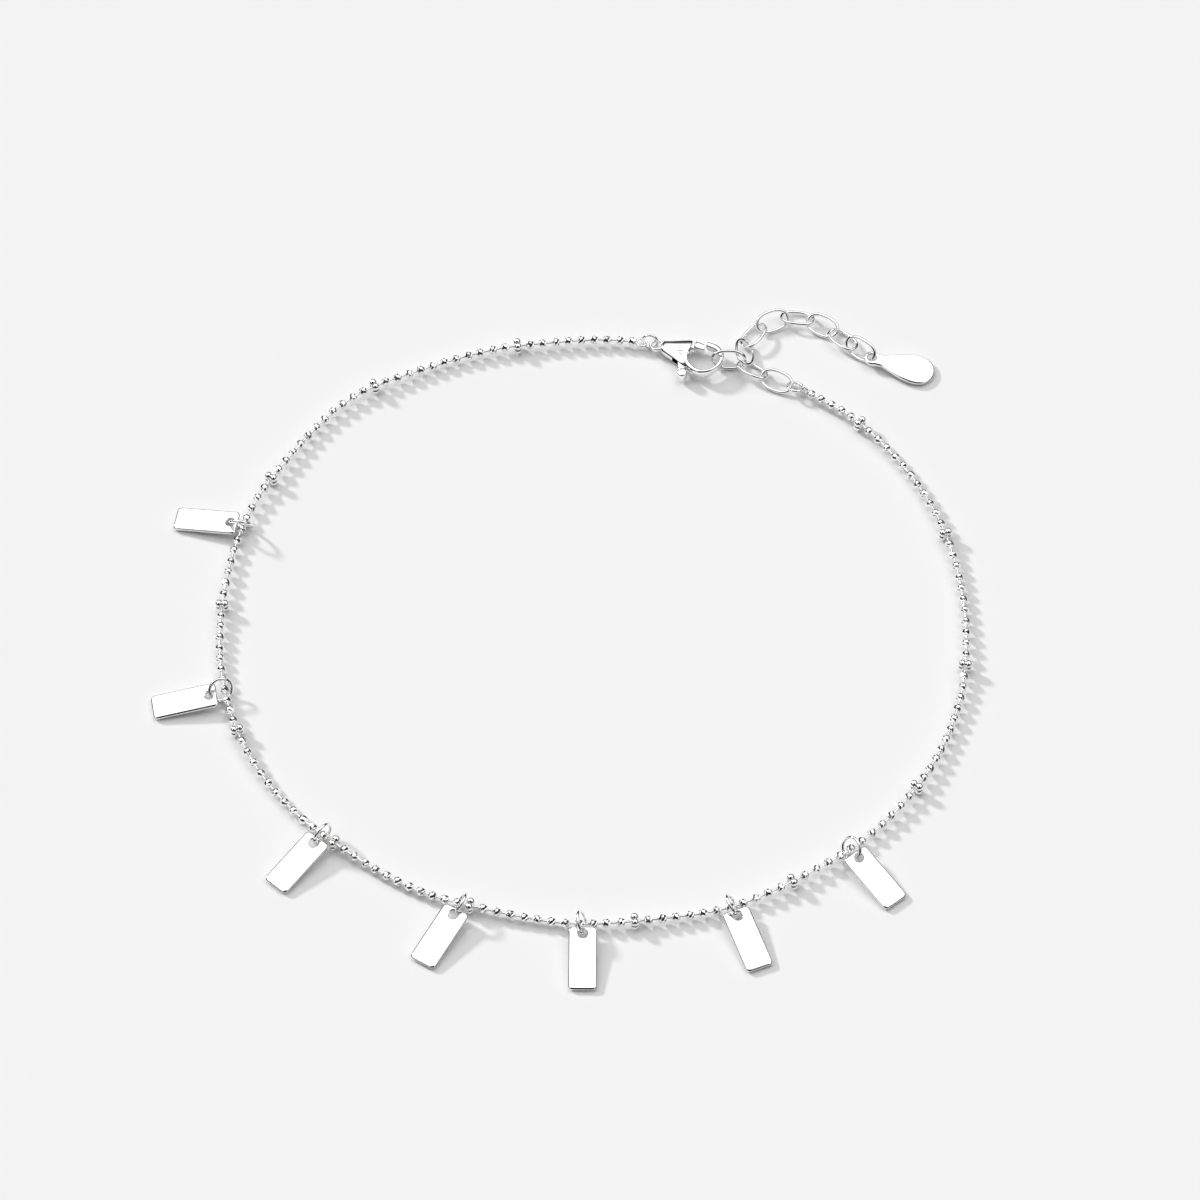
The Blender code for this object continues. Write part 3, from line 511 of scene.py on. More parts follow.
@dataclass
class BeadStrand:
    """The bead chain: small cut beads on a thin wire, with a loop at each end."""

    bead_diameter: float = 0.88 * MM
    bead_swell: float = 1.08
    bead_roll: float = 0.37
    bead_rows: tuple[float, ...] = (13.0, 42.0, 74.0, 106.0, 138.0, 167.0)
    bead_columns: int = 10
    neck_diameter: float = 0.24 * MM
    neck_swell: float = 0.5
    swell_power: int = 4
    wire_columns: int = 8
    wire_stations: int = 10
    loop_diameter: float = 1.26 * MM
    loop_wire: float = 0.26 * MM
    loop_entry: float = 0.4
    pitch: float = 1.33 * MM
    sag: float = 0.16 * MM
    height: float = 0.7461 * MM
    tangent_step: float = 0.3
    route_steps: int = 24
    route: list[tuple[float, float]] = field(default_factory=lambda: [
        (4.30, 31.85), (1.0, 32.15), (-2.9, 32.0), (-11.0, 30.9), (-18.8, 28.2), (-26.1, 24.2),
        (-31.6, 17.3), (-35.8, 9.3), (-37.6, 0.0), (-37.4, -9.3), (-34.7, -18.1), (-29.7, -25.3),
        (-23.5, -30.6), (-16.7, -34.6), (-9.4, -36.8), (-2.0, -38.0), (5.5, -37.5), (12.9, -36.0),
        (19.9, -32.5), (26.4, -27.7), (31.8, -21.1), (35.3, -12.9), (36.4, -3.7), (35.3, 5.7),
        (32.0, 14.2), (26.6, 21.4), (20.95, 25.70),
    ])
    accent_places: list[tuple[float, float]] = field(default_factory=lambda: [
        (-8.6, 31.6), (-23.3, 26.5), (-33.6, 14.5), (-38.0, -1.2), (-35.6, -16.1),
        (-25.7, -29.1), (-12.4, -36.2), (3.2, -37.6), (18.4, -33.3), (30.7, -22.4),
        (36.0, -8.3), (34.8, 7.7), (26.5, 21.5),
    ])

    def __post_init__(self) -> None:
        """Work out the beads' numbers and stops, and where the route lies in the frame."""
        self.line = smooth_line(np.array(self.route) * MM, self.route_steps)
        steps = np.linalg.norm(np.diff(self.line, axis=0), axis=1)
        self.along = np.concatenate([[0.0], np.cumsum(steps)])
        self.lead = (self.loop_diameter + self.bead_diameter - self.loop_wire) / 2.0
        spots = np.array(self.accent_places) * MM
        apart = np.linalg.norm(self.line[None] - spots[:, None], axis=2)
        stops = self.along[apart.argmin(axis=1)]
        self.every = round((stops[-1] - stops[0]) / (len(stops) - 1) / self.pitch)
        ahead = round((stops[0] - self.lead) / self.pitch)
        behind = round((self.along[-1] - self.lead - stops[-1]) / self.pitch)
        self.accents = ahead + self.every * np.arange(len(stops))
        self.count = int(self.accents[-1]) + behind + 1
        self.marks = np.concatenate([[0], self.accents, [self.count - 1]])
        self.stops = np.concatenate([[self.lead], stops, [self.along[-1] - self.lead]])
        self.step = (self.along[-1] - 2.0 * self.lead) / (self.count - 1)
        self.shift = np.zeros(3)
        boxes = [np.array(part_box(f"accent_{k + 1:02d}")).mean(axis=0) for k in range(len(stops))]
        self.shift = (np.array(boxes) - self.place(self.accents)).mean(axis=0)

    def place(self, number: np.ndarray) -> np.ndarray:
        """Find the strand's middle line at bead numbers.

        The length along the route is read between the accents' stops, and past the ends it
        grows by one pitch a number. Between two accents the line sags by a squared sine.

        Args:
            number: Bead numbers, whole or not.

        Returns:
            One point a number.
        """
        number = np.asarray(number, dtype=float)
        length = np.interp(number, self.marks, self.stops)
        length = length + np.minimum(number, 0.0) * self.step
        length = length + np.maximum(number - (self.count - 1), 0.0) * self.step
        x = np.interp(length, self.along, self.line[:, 0])
        y = np.interp(length, self.along, self.line[:, 1])
        phase = (number - self.accents[0]) / self.every
        inside = (number >= self.accents[0]) & (number <= self.accents[-1])
        dip = np.where(inside, self.sag * np.sin(math.pi * phase) ** 2, 0.0)
        return np.stack([x, y, self.height - dip], axis=-1) + self.shift

    def frames(self, number: np.ndarray) -> list[np.ndarray]:
        """Find the strand's direction, side and top at bead numbers.

        Args:
            number: Bead numbers.

        Returns:
            Three arrays of unit vectors: along the strand, level to its side, and upwards.
        """
        step = self.tangent_step
        run = unit(self.place(number + step) - self.place(number - step))
        side = unit(np.cross(run, UP))
        return [run, side, np.cross(side, run)]

    def frame_at(self, number: int) -> list[np.ndarray]:
        """Return the strand's direction, side and top at one bead."""
        return [axis[0] for axis in self.frames(np.array([float(number)]))]

    def beads(self) -> Shell:
        """Make the cut beads.

        Each bead is a ball of radius R: at a polar angle p from the strand and a turn t, the
        point is R cos p along the strand and R sin p outwards. Every other row is turned by half
        a step, which cuts the ball into lozenges, and each bead is rolled a little on from the
        last. The ball is a little larger than the solid's, because its facets lie inside it.

        Returns:
            One shell with a copy for each bead.
        """
        numbers = np.setdiff1d(np.arange(self.count), self.accents)
        axes = [axis[:, None, None] for axis in self.frames(numbers)]
        polar = np.radians(self.bead_rows)[:, None]
        half_step = math.pi / self.bead_columns * (np.arange(len(polar)) % 2)
        roll = self.bead_roll * numbers
        turn = turns(self.bead_columns) + half_step[:, None] + roll[:, None, None]
        radius = self.bead_diameter * self.bead_swell / 2.0
        local = about(axes, radius * np.cos(polar), radius * np.sin(polar), turn)
        return Shell(self.place(numbers)[:, None, None] + local)

    def wire(self) -> Shell:
        """Make the thin wire through the beads.

        A circle is carried along the strand. Its radius is least half-way between two beads and
        swells by a power of the cosine towards each bead.

        Returns:
            The wire, closed at both ends.
        """
        reach = self.loop_entry * self.lead / self.step
        numbers = np.linspace(-reach, self.count - 1 + reach, self.wire_stations * self.count)
        axes = [axis[:, None] for axis in self.frames(numbers)]
        swell = np.cos(math.pi * (numbers - np.round(numbers))) ** self.swell_power
        radius = self.neck_diameter / 2.0 * (1.0 + self.neck_swell * swell)
        local = about(axes, np.zeros((1, 1)), radius[:, None], turns(self.wire_columns))
        return Shell(self.place(numbers)[:, None] + local)

    def loops(self) -> list[Shell]:
        """Make the loops at the strand's two ends.

        Returns:
            The first loop, which lies flat, and the last, which stands.
        """
        middle = (self.loop_diameter - self.loop_wire) / 2.0
        local = hoop((middle, middle), self.loop_wire, around=36, section=12).points
        made = []
        for number, sign in ((0, -1.0), (self.count - 1, 1.0)):
            run, side, top = self.frame_at(number)
            centre = self.place(np.array([number]))[0] + run * (sign * self.lead)
            plane = [run, side, top] if number == 0 else [run, top, side]
            made.append(Shell(centre + local @ np.stack(plane), wrap_rows=True))
        return made

    def build(self, finishes: Finishes) -> None:
        """Build and dress the strand.

        Args:
            finishes: The bracelet's materials.
        """
        beads = make_mesh("beads", [self.beads()], Shading.FACETS)
        body = make_mesh("strand_wire", [self.wire(), *self.loops()], Shading.ROUND)
        put_piece("strand_beads", beads, finishes.bead_material, "bead_chain")
        put_piece("strand_wire", body, finishes.wire_material, "bead_chain")


@dataclass
class AccentBeads:
    """The accents: rings of four little balls round the wire."""

    strand: BeadStrand
    outer: float = 1.68 * MM
    ball: float = 0.80 * MM
    stretch: float = 1.07
    pole: float = 6.0
    rows: int = 12
    columns: int = 18
    collar: float = 0.50 * MM
    collar_length: float = 0.62 * MM
    collar_taper: float = 0.6
    collar_rows: int = 7
    collar_columns: int = 14

    def balls(self, centre: np.ndarray, axes: list[np.ndarray]) -> Shell:
        """Make an accent's four balls.

        Each is a sphere drawn out a little along the strand, with its poles there: at a polar
        angle p and a turn t the point is s r cos p along it and r sin p outwards, about a
        centre an eighth of a turn on from the side, then a quarter on for each ball.

        Args:
            centre: The accent's middle.
            axes: The strand's direction, side and top there.

        Returns:
            A shell with four copies.
        """
        reach = (self.outer - self.ball) / 2.0
        middles = centre + about(axes, np.zeros(1), reach, turns(4, math.pi / 4.0))
        polar = np.radians(np.linspace(self.pole, 2.0 * QUARTER - self.pole, self.rows))[:, None]
        radius = self.ball / 2.0
        local = about(axes, self.stretch * radius * np.cos(polar), radius * np.sin(polar),
                      turns(self.columns))
        return Shell(middles[:, None, None] + local)

    def sleeve(self, centre: np.ndarray, axes: list[np.ndarray]) -> Shell:
        """Make the short collar that the balls are soldered to: a barrel along the strand.

        At a share s of its half length the radius is the collar's times the root of one less
        the taper times the square of s.

        Args:
            centre: The accent's middle.
            axes: The strand's direction, side and top there.

        Returns:
            The sleeve.
        """
        share = np.linspace(-1.0, 1.0, self.collar_rows)[:, None]
        radius = self.collar / 2.0 * np.sqrt(1.0 - self.collar_taper * share ** 2)
        ahead = share * self.collar_length / 2.0
        return Shell(centre + about(axes, ahead, radius, turns(self.collar_columns)))

    def build(self, finishes: Finishes) -> None:
        """Build and dress the accents.

        Args:
            finishes: The bracelet's materials.
        """
        for k, number in enumerate(self.strand.accents, start=1):
            node = f"accent_{k:02d}"
            centre = np.array(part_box(node)).mean(axis=0)
            axes = self.strand.frame_at(number)
            shells = [self.balls(centre, axes), self.sleeve(centre, axes)]
            mesh = make_mesh(node, shells, Shading.ROUND)
            put_piece(f"ball_{node}", mesh, finishes.wire_material, node)


def evenly(corners: np.ndarray, count: int) -> np.ndarray:
    """Return points spaced evenly along a closed outline.

    Args:
        corners: The outline's corners in order.
        count: How many points to return.

    Returns:
        The points, the first on the first corner.
    """
    closed = np.vstack([corners, corners[:1]])
    along = np.concatenate([[0.0], np.cumsum(np.linalg.norm(np.diff(closed, axis=0), axis=1))])
    at = np.linspace(0.0, along[-1], count, endpoint=False)
    return np.stack([np.interp(at, along, closed[:, k]) for k in (0, 1)], axis=-1)


def arc(centre: tuple[float, float], radius: float, start: float, end: float,
        count: int) -> np.ndarray:
    """Return points along an arc between two turns in degrees."""
    turn = np.radians(np.linspace(start, end, count))
    return np.stack([centre[0] + radius * np.cos(turn), centre[1] + radius * np.sin(turn)], -1)


@dataclass
class Plate:
    """A flat tag with a hole near one end, bevelled edges and a polished face."""

    length: float
    thickness: float
    hole: float
    inset: float
    edge: float = 0.16 * MM
    rim_edge: float = 0.09 * MM
    fall: float = 0.68
    edge_squareness: float = 1.35
    edge_rows: int = 7
    face_rows: tuple[float, ...] = (0.08, 0.5, 0.92)
    samples: int = 176

    def outline(self) -> np.ndarray:
        """Return the edge's corners, anticlockwise round the hole at the origin."""
        raise NotImplementedError

    def shell(self, place: Placement) -> Shell:
        """Make the plate round its hole.

        Rows run round the plate's section: up the hole's wall, out over the top face, round the
        outer edge, and back under. Each edge is a soft bevel: at a turn b it is drawn in from
        the wall by its width times one less the cosine, and lies below the face by its fall
        times the width times one less the sine, both pulled in towards a straight slope. The
        face's rows are shares of the way from one bevel to the other. Each point of the hole's
        circle lies in the direction of its point of the outline.

        Args:
            place: The node's placement.

        Returns:
            The plate, in the model's frame.
        """
        outer = evenly(self.outline(), self.samples)
        chord = np.roll(outer, -1, axis=0) - np.roll(outer, 1, axis=0)
        normal = unit(np.stack([chord[:, 1], -chord[:, 0]], axis=-1))
        bend = np.radians(np.linspace(0.0, QUARTER, self.edge_rows))[:, None, None]
        drawn = 1.0 - rounded(np.cos(bend), self.edge_squareness)
        below = self.fall * (1.0 - rounded(np.sin(bend), self.edge_squareness))[:, 0, 0]
        rim = unit(outer) * (self.hole / 2.0 + self.rim_edge * drawn)
        side = (outer - normal * self.edge * drawn)[::-1]
        share = np.array(self.face_rows)[:, None, None]
        face = rim[-1] + (side[0] - rim[-1]) * share
        lines = np.concatenate([rim, face, side])
        heights = self.thickness / 2.0 - np.concatenate([
            self.rim_edge * below, np.zeros(len(face)), self.edge * below[::-1]])
        lines = np.concatenate([lines, lines[::-1]])
        heights = np.concatenate([heights, -heights[::-1]])
        local = np.empty((*lines.shape[:2], 3))
        local[..., :2] = lines
        local[..., 0] += self.inset - self.length / 2.0
        local[..., 2] = heights[:, None]
        return Shell(place.world(local), wrap_rows=True)


@dataclass
class BarTag(Plate):
    """A rectangular tag with rounded corners."""

    width: float = 2.74 * MM
    corner: float = 0.44 * MM
    corner_points: int = 9

    def outline(self) -> np.ndarray:
        """Return the rectangle's edge.

        Returns:
            Four quarter arcs, one a corner.
        """
        r = self.corner
        right, left = self.length - self.inset - r, r - self.inset
        side = self.width / 2.0 - r
        corners = ((right, side), (left, side), (left, -side), (right, -side))
        return np.concatenate([arc(corner, r, k * QUARTER, (k + 1) * QUARTER, self.corner_points)
                               for k, corner in enumerate(corners)])


@dataclass
class TeardropTag(Plate):
    """The end tag: a small round head that widens to a broad round foot."""

    head: float = 1.66 * MM
    head_end: float = 60.0
    neck: float = 1.42 * MM
    foot: float = 3.60 * MM
    throat: float = 2.25
    swell: float = 1.15
    points: tuple[int, int, int] = (14, 16, 20)

    def outline(self) -> np.ndarray:
        """Return the teardrop's edge.

        The head and foot are arcs of circles. Between them the half width grows from the neck's
        to the foot's by a power of a quarter sine wave.

        Returns:
            The edge's points.
        """
        head, neck, foot = self.head / 2.0, self.neck / 2.0, self.foot / 2.0
        start = -self.inset
        middle = self.length - self.inset - foot
        throat = start + self.throat * head
        share = np.linspace(0.0, 1.0, self.points[1])[:-1]
        side = neck + (foot - neck) * np.sin(share * math.pi / 2.0) ** self.swell
        upper = np.concatenate([
            arc((start + head, 0.0), head, 2.0 * QUARTER, self.head_end, self.points[0]),
            np.stack([throat + (middle - throat) * share, side], axis=-1),
            arc((middle, 0.0), foot, QUARTER, 0.0, self.points[2]),
        ])
        lower = upper[1:-1] * np.array([1.0, -1.0])
        return np.concatenate([lower, upper[::-1]])


@dataclass
class Tags:
    """The seven bar tags and the end tag."""

    count: int = 7
    bar: BarTag = field(default_factory=lambda: BarTag(
        length=6.53 * MM, thickness=0.42 * MM, hole=0.94 * MM, inset=0.74 * MM))
    drop: TeardropTag = field(default_factory=lambda: TeardropTag(
        length=7.45 * MM, thickness=0.42 * MM, hole=0.92 * MM, inset=0.80 * MM))

    def build(self, finishes: Finishes) -> None:
        """Build and dress the tags.

        Args:
            finishes: The bracelet's materials.
        """
        tags = {f"bar_tag_{k}": self.bar for k in range(1, self.count + 1)}
        for node, tag in {**tags, "end_tag": self.drop}.items():
            mesh = make_mesh(node, [tag.shell(Placement.of_node(node))], Shading.EDGED)
            put_piece(f"silver_{node}", mesh, finishes.sheet_material, node)


@dataclass
class Rings:
    """The jump rings, each of round wire with a fine cut.

    The line's radius is a share of the solid's, whose polygon reaches past its own circle.
    """

    sizes: dict[str, tuple[float, float]] = field(default_factory=lambda: {
        **{f"tag_ring_{k}": (2.70 * MM, 0.34 * MM) for k in range(1, 8)},
        "clasp_ring": (1.96 * MM, 0.30 * MM),
        "extender_ring": (2.10 * MM, 0.34 * MM),
    })
    cut: float = 0.03 * MM
    cut_turn: float = 0.6
    polygon_share: float = 0.957
    wire_share: float = 0.97

    def build(self, finishes: Finishes) -> None:
        """Build and dress the rings, each with its cut on the lower side.

        Args:
            finishes: The bracelet's materials.
        """
        for node, (diameter, wire) in self.sizes.items():
            place = Placement.of_node(node)
            radius = (diameter - wire) / 2.0 * self.polygon_share
            down = place.axes @ -UP
            ring = hoop((radius, radius), wire * self.wire_share, around=64, cut=self.cut,
                        cut_at=math.atan2(down[1], down[0]) + self.cut_turn)
            mesh = make_mesh(node, [Shell(place.world(ring.points[0]))], Shading.EDGED)
            put_piece(f"round_{node}", mesh, finishes.wire_material, node)


@dataclass
class Extender:
    """The extender's oval links."""

    count: int = 10
    length: float = 3.72 * MM
    width: float = 2.36 * MM
    wire: float = 0.35 * MM
    wire_share: float = 0.97
    squareness: float = 2.35

    def build(self, finishes: Finishes) -> None:
        """Build and dress the links.

        Args:
            finishes: The bracelet's materials.
        """
        radii = ((self.length - self.wire) / 2.0, (self.width - self.wire) / 2.0)
        link = hoop(radii, self.wire * self.wire_share, self.squareness, around=80)
        for k in range(1, self.count + 1):
            node = f"extender_link_{k:02d}"
            shell = Shell(Placement.of_node(node).world(link.points[0]), wrap_rows=True)
            mesh = make_mesh(node, [shell], Shading.ROUND)
            put_piece(f"oval_{node}", mesh, finishes.wire_material, node)


@dataclass
class Clasp:
    """The lobster clasp: a hooked body with a slot, and a spring lever on a pin.

    Points are in millimetres along and across the clasp in its own frame, whose third axis is
    the hinge's axis turned up. Each section of the body runs from a point on its inner side, at
    the eye, to one on its outer side, with a thickness there.
    """

    heading: float = -14.0
    pivot: tuple[float, float] = (3.42, -0.35)
    thickness: float = 1.20
    nose_turns: tuple[float, ...] = (25.0, 48.0, 66.0, 80.0)
    tail_eye: tuple[float, float] = (0.72, 0.42)
    eye_outer: float = 1.56
    eye_hole: float = 0.90
    eye_thickness: float = 0.48
    eye_squareness: float = 2.6
    eye_grid: tuple[int, int] = (40, 14)
    pin: float = 0.46
    head_share: float = 1.25
    head_rise: float = 0.07
    head_inset: float = 0.03
    head_sinks: tuple[float, float] = (0.05, 0.06)
    head_turns: tuple[float, ...] = (80.0, 55.0, 25.0, 0.0)
    lever_thickness: float = 0.46
    side_clearance: float = 0.06
    tab: float = 1.06
    tab_length: float = 1.04
    tab_place: tuple[float, float] = (4.185, -2.773)
    tab_edge: float = 0.20
    tab_flat: float = 0.12
    tab_turns: tuple[float, ...] = (82.0, 60.0, 35.0, 12.0)
    inner: list[tuple[float, float, float]] = field(default_factory=lambda: [
        (1.26, 0.92, 0.50), (1.42, 1.08, 0.86), (1.90, 1.14, 1.08), (2.80, 1.38, 1.18),
        (3.60, 1.60, 1.20), (4.20, 1.72, 1.20), (4.42, 1.50, 1.20), (4.24, 0.90, 1.20),
        (4.13, 0.10, 1.20), (4.25, -0.62, 1.20), (4.65, -1.26, 1.18), (5.28, -1.77, 1.16),
        (6.04, -1.98, 1.15), (6.73, -1.81, 1.14), (7.25, -1.27, 1.13), (7.47, -0.56, 1.12),
        (7.35, 0.16, 1.10), (6.87, 0.72, 1.06), (6.42, 0.92, 1.02), (6.02, 1.02, 0.98),
    ])
    outer: list[tuple[float, float]] = field(default_factory=lambda: [
        (1.26, -0.10), (1.42, -0.40), (1.90, -0.68), (2.70, -1.12), (3.20, -1.40), (3.60, -1.62),
        (3.85, -1.76), (4.10, -1.90), (4.35, -2.03), (4.65, -2.18), (5.05, -2.36), (5.50, -2.50),
        (6.12, -2.55), (6.95, -2.23), (7.57, -1.62), (7.97, -0.84), (8.05, 0.06), (7.75, 0.82),
        (7.12, 1.44), (6.04, 1.72),
    ])
    slot: list[tuple[float, float]] = field(default_factory=lambda: [
        (2.62, -2.70), (4.52, -2.70), (4.44, -1.66), (5.00, -0.40), (5.00, 1.96), (3.30, 1.96),
        (2.86, 0.80), (2.70, -0.10), (2.74, -1.40),
    ])
    lever_eye_side: list[tuple[float, float, float]] = field(default_factory=lambda: [
        (4.46, -2.66, 0.46), (4.20, -1.70, 0.46), (3.98, -0.80, 0.46), (3.94, 0.05, 0.46),
        (4.10, 0.62, 0.46), (4.34, 0.66, 0.46), (4.66, 0.65, 0.46), (4.80, 0.63, 0.94),
        (5.20, 0.55, 0.96), (5.80, 0.46, 0.94),
    ])
    lever_outer_side: list[tuple[float, float]] = field(default_factory=lambda: [
        (3.92, -2.90), (3.50, -1.60), (3.14, -0.92), (3.00, -0.20), (3.22, 0.40), (3.60, 1.10),
        (4.40, 1.50), (4.74, 1.54), (5.12, 1.48), (5.60, 1.30),
    ])

    def __post_init__(self) -> None:
        """Find the clasp's own frame from its hinge."""
        joint = frame["joints"][0]
        top = unit(-np.array(joint["axis"]))
        level = np.array([math.cos(math.radians(self.heading)),
                          math.sin(math.radians(self.heading)), 0.0])
        ahead = unit(level - level @ top * top)
        self.axes = np.stack([ahead, np.cross(top, ahead), top])
        self.origin = np.array(joint["pos_m"]) - np.array([*self.pivot, 0.0]) * MM @ self.axes

    def world(self, local: np.ndarray) -> np.ndarray:
        """Return points of the clasp's frame, in millimetres, in the model's frame."""
        return self.origin + local * MM @ self.axes

    def ruled(self, inner: list[tuple[float, float, float]], outer: list[tuple[float, float]],
              squareness: float, steps: int, columns: int, nose: float) -> Shell:
        """Loft a rounded bar between two side lines.

        At each station the section's middle lies half-way between the sides. At a turn t round
        it, the point is the half width times the cosine across, and half the thickness times the
        sine up, both pushed out towards a square. The last sections shrink by the cosine of a
        quarter turn while they move on by its sine, which rounds the end.

        Args:
            inner: Points and thickness down one side.
            outer: Points down the other side.
            squareness: 2 for an oval section, and more towards a rectangle.
            steps: Stations from each pair of points to the next.
            columns: Points round a section.
            nose: Length of the rounded end.

        Returns:
            The bar, in the model's frame.
        """
        one = smooth_line(np.array(inner), steps)
        two = smooth_line(np.array(outer), steps)
        middle = (one[:, :2] + two) / 2.0
        half = (two - one[:, :2]) / 2.0
        deep = one[:, 2] / 2.0
        onward = unit(middle[-1] - middle[-2])
        bend = np.radians(self.nose_turns)
        middle = np.concatenate([middle, middle[-1] + nose * np.sin(bend)[:, None] * onward])
        half = np.concatenate([half, half[-1] * np.cos(bend)[:, None]])
        deep = np.concatenate([deep, deep[-1] * np.cos(bend)])
        turn = turns(columns)
        across = rounded(np.cos(turn), squareness)
        rise = rounded(np.sin(turn), squareness)
        local = np.empty((len(middle), columns, 3))
        local[..., :2] = middle[:, None] + half[:, None] * across[None, :, None]
        local[..., 2] = deep[:, None] * rise
        return Shell(self.world(local))

    def drum(self, place: tuple[float, float], profile: list[tuple[float, float]],
             columns: int) -> Shell:
        """Turn a profile about an upright axis of the clasp.

        Args:
            place: The axis's place in the clasp's plane.
            profile: Radii and heights from one end to the other.
            columns: Points round the axis.

        Returns:
            The turned form, in the model's frame.
        """
        radius, height = np.array(profile).T
        turn = turns(columns)
        local = np.empty((len(profile), columns, 3))
        local[..., 0] = place[0] + radius[:, None] * np.cos(turn)
        local[..., 1] = place[1] + radius[:, None] * np.sin(turn)
        local[..., 2] = height[:, None]
        return Shell(self.world(local))

    def tail(self) -> Shell:
        """Make the tail's eye.

        A rounded section, wider than it is thick, is carried round the hole: at a turn u round
        the hole and v round the section, the radius is the middle one plus half the band's
        width times the cosine of v, and the height is half the thickness times its sine.

        Returns:
            The eye, in the model's frame.
        """
        middle = (self.eye_outer + self.eye_hole) / 4.0
        band = (self.eye_outer - self.eye_hole) / 4.0
        u, v = turns(self.eye_grid[0])[:, None], turns(self.eye_grid[1])[None]
        radius = middle + band * rounded(np.cos(v), self.eye_squareness)
        height = self.eye_thickness / 2.0 * rounded(np.sin(v), self.eye_squareness)
        local = np.stack([self.tail_eye[0] + radius * np.cos(u),
                          self.tail_eye[1] + radius * np.sin(u),
                          np.broadcast_to(height, self.eye_grid)], axis=-1)
        return Shell(self.world(local), wrap_rows=True)

    def slot_shell(self) -> Shell:
        """Make the slot's tool.

        Returns:
            The slot's outline at the two heights of its walls, as a closed form.
        """
        half = self.lever_thickness / 2.0 + self.side_clearance
        local = np.empty((2, len(self.slot), 3))
        local[..., :2] = self.slot
        local[..., 2] = np.array([[-half], [half]])
        return Shell(self.world(local))

    def dome(self, height: float) -> list[tuple[float, float]]:
        """Return a pin's profile with low domed heads past each face.

        Args:
            height: Height of the face above the middle plane.

        Returns:
            Radii and heights.
        """
        stem = self.pin / 2.0
        radius = stem * self.head_share
        seat, neck = (height - sink for sink in self.head_sinks)
        head = [(radius * math.cos(a), height + self.head_rise * math.sin(a))
                for a in np.radians(self.head_turns)]
        return mirrored([(stem, neck), (radius, seat), *head[::-1]])

    def build_body(self, finishes: Finishes) -> None:
        """Build and dress the hooked body, cut its slot, and add its eye and pin.

        Args:
            finishes: The bracelet's materials.
        """
        solid = self.ruled(self.inner, self.outer, squareness=2.5, steps=8, columns=40, nose=0.34)
        mesh = cut_by(make_mesh("hook", [solid], Shading.EDGED),
                      make_mesh("slot", [self.slot_shell()], Shading.EDGED))
        shade(mesh, Shading.EDGED)
        put_piece("clasp_hook", mesh, finishes.cast_material, "clasp_body")
        heads = self.dome(self.thickness / 2.0 - self.head_inset)
        pin = self.drum(self.pivot, heads, columns=24)
        mesh = make_mesh("clasp_eye_and_pin", [self.tail(), pin], Shading.EDGED)
        put_piece("clasp_eye_and_pin", mesh, finishes.cast_material, "clasp_body")

    def build_lever(self, finishes: Finishes) -> None:
        """Build and dress the lever with its gate and its thumb tab.

        Args:
            finishes: The bracelet's materials.
        """
        bar = self.ruled(self.lever_eye_side, self.lever_outer_side, squareness=3.4, steps=6,
                         columns=24, nose=0.05)
        half, radius, edge = self.tab_length / 2.0, self.tab / 2.0, self.tab_edge
        crown = [(radius - edge + edge * math.cos(b), half - edge + edge * math.sin(b))
                 for b in np.radians(self.tab_turns)]
        profile = mirrored([*crown[::-1], (self.tab_flat, half)])
        tab = self.drum(self.tab_place, profile, columns=28)
        mesh = make_mesh("lever", [bar, tab], Shading.EDGED)
        put_piece("clasp_gate_lever", mesh, finishes.cast_material, "clasp_lever", Body.LEVER)

    def build(self, finishes: Finishes) -> None:
        """Build and dress the clasp."""
        self.build_body(finishes)
        self.build_lever(finishes)


def cut_by(mesh: bpy.types.Mesh, tool: bpy.types.Mesh) -> bpy.types.Mesh:
    """Cut one closed mesh from another.

    Args:
        mesh: The mesh that is cut.
        tool: The closed mesh that is taken away.

    Returns:
        A new mesh.
    """
    body = bpy.data.objects.new("cut_body", mesh)
    cutter = bpy.data.objects.new("cut_tool", tool)
    for obj in (body, cutter):
        bpy.context.scene.collection.objects.link(obj)
    modifier = body.modifiers.new("Cut", "BOOLEAN")
    modifier.operation = "DIFFERENCE"
    modifier.object = cutter
    bpy.context.view_layer.update()
    graph = bpy.context.evaluated_depsgraph_get()
    made = bpy.data.meshes.new_from_object(body.evaluated_get(graph))
    for obj in (body, cutter):
        bpy.data.objects.remove(obj, do_unlink=True)
    return made


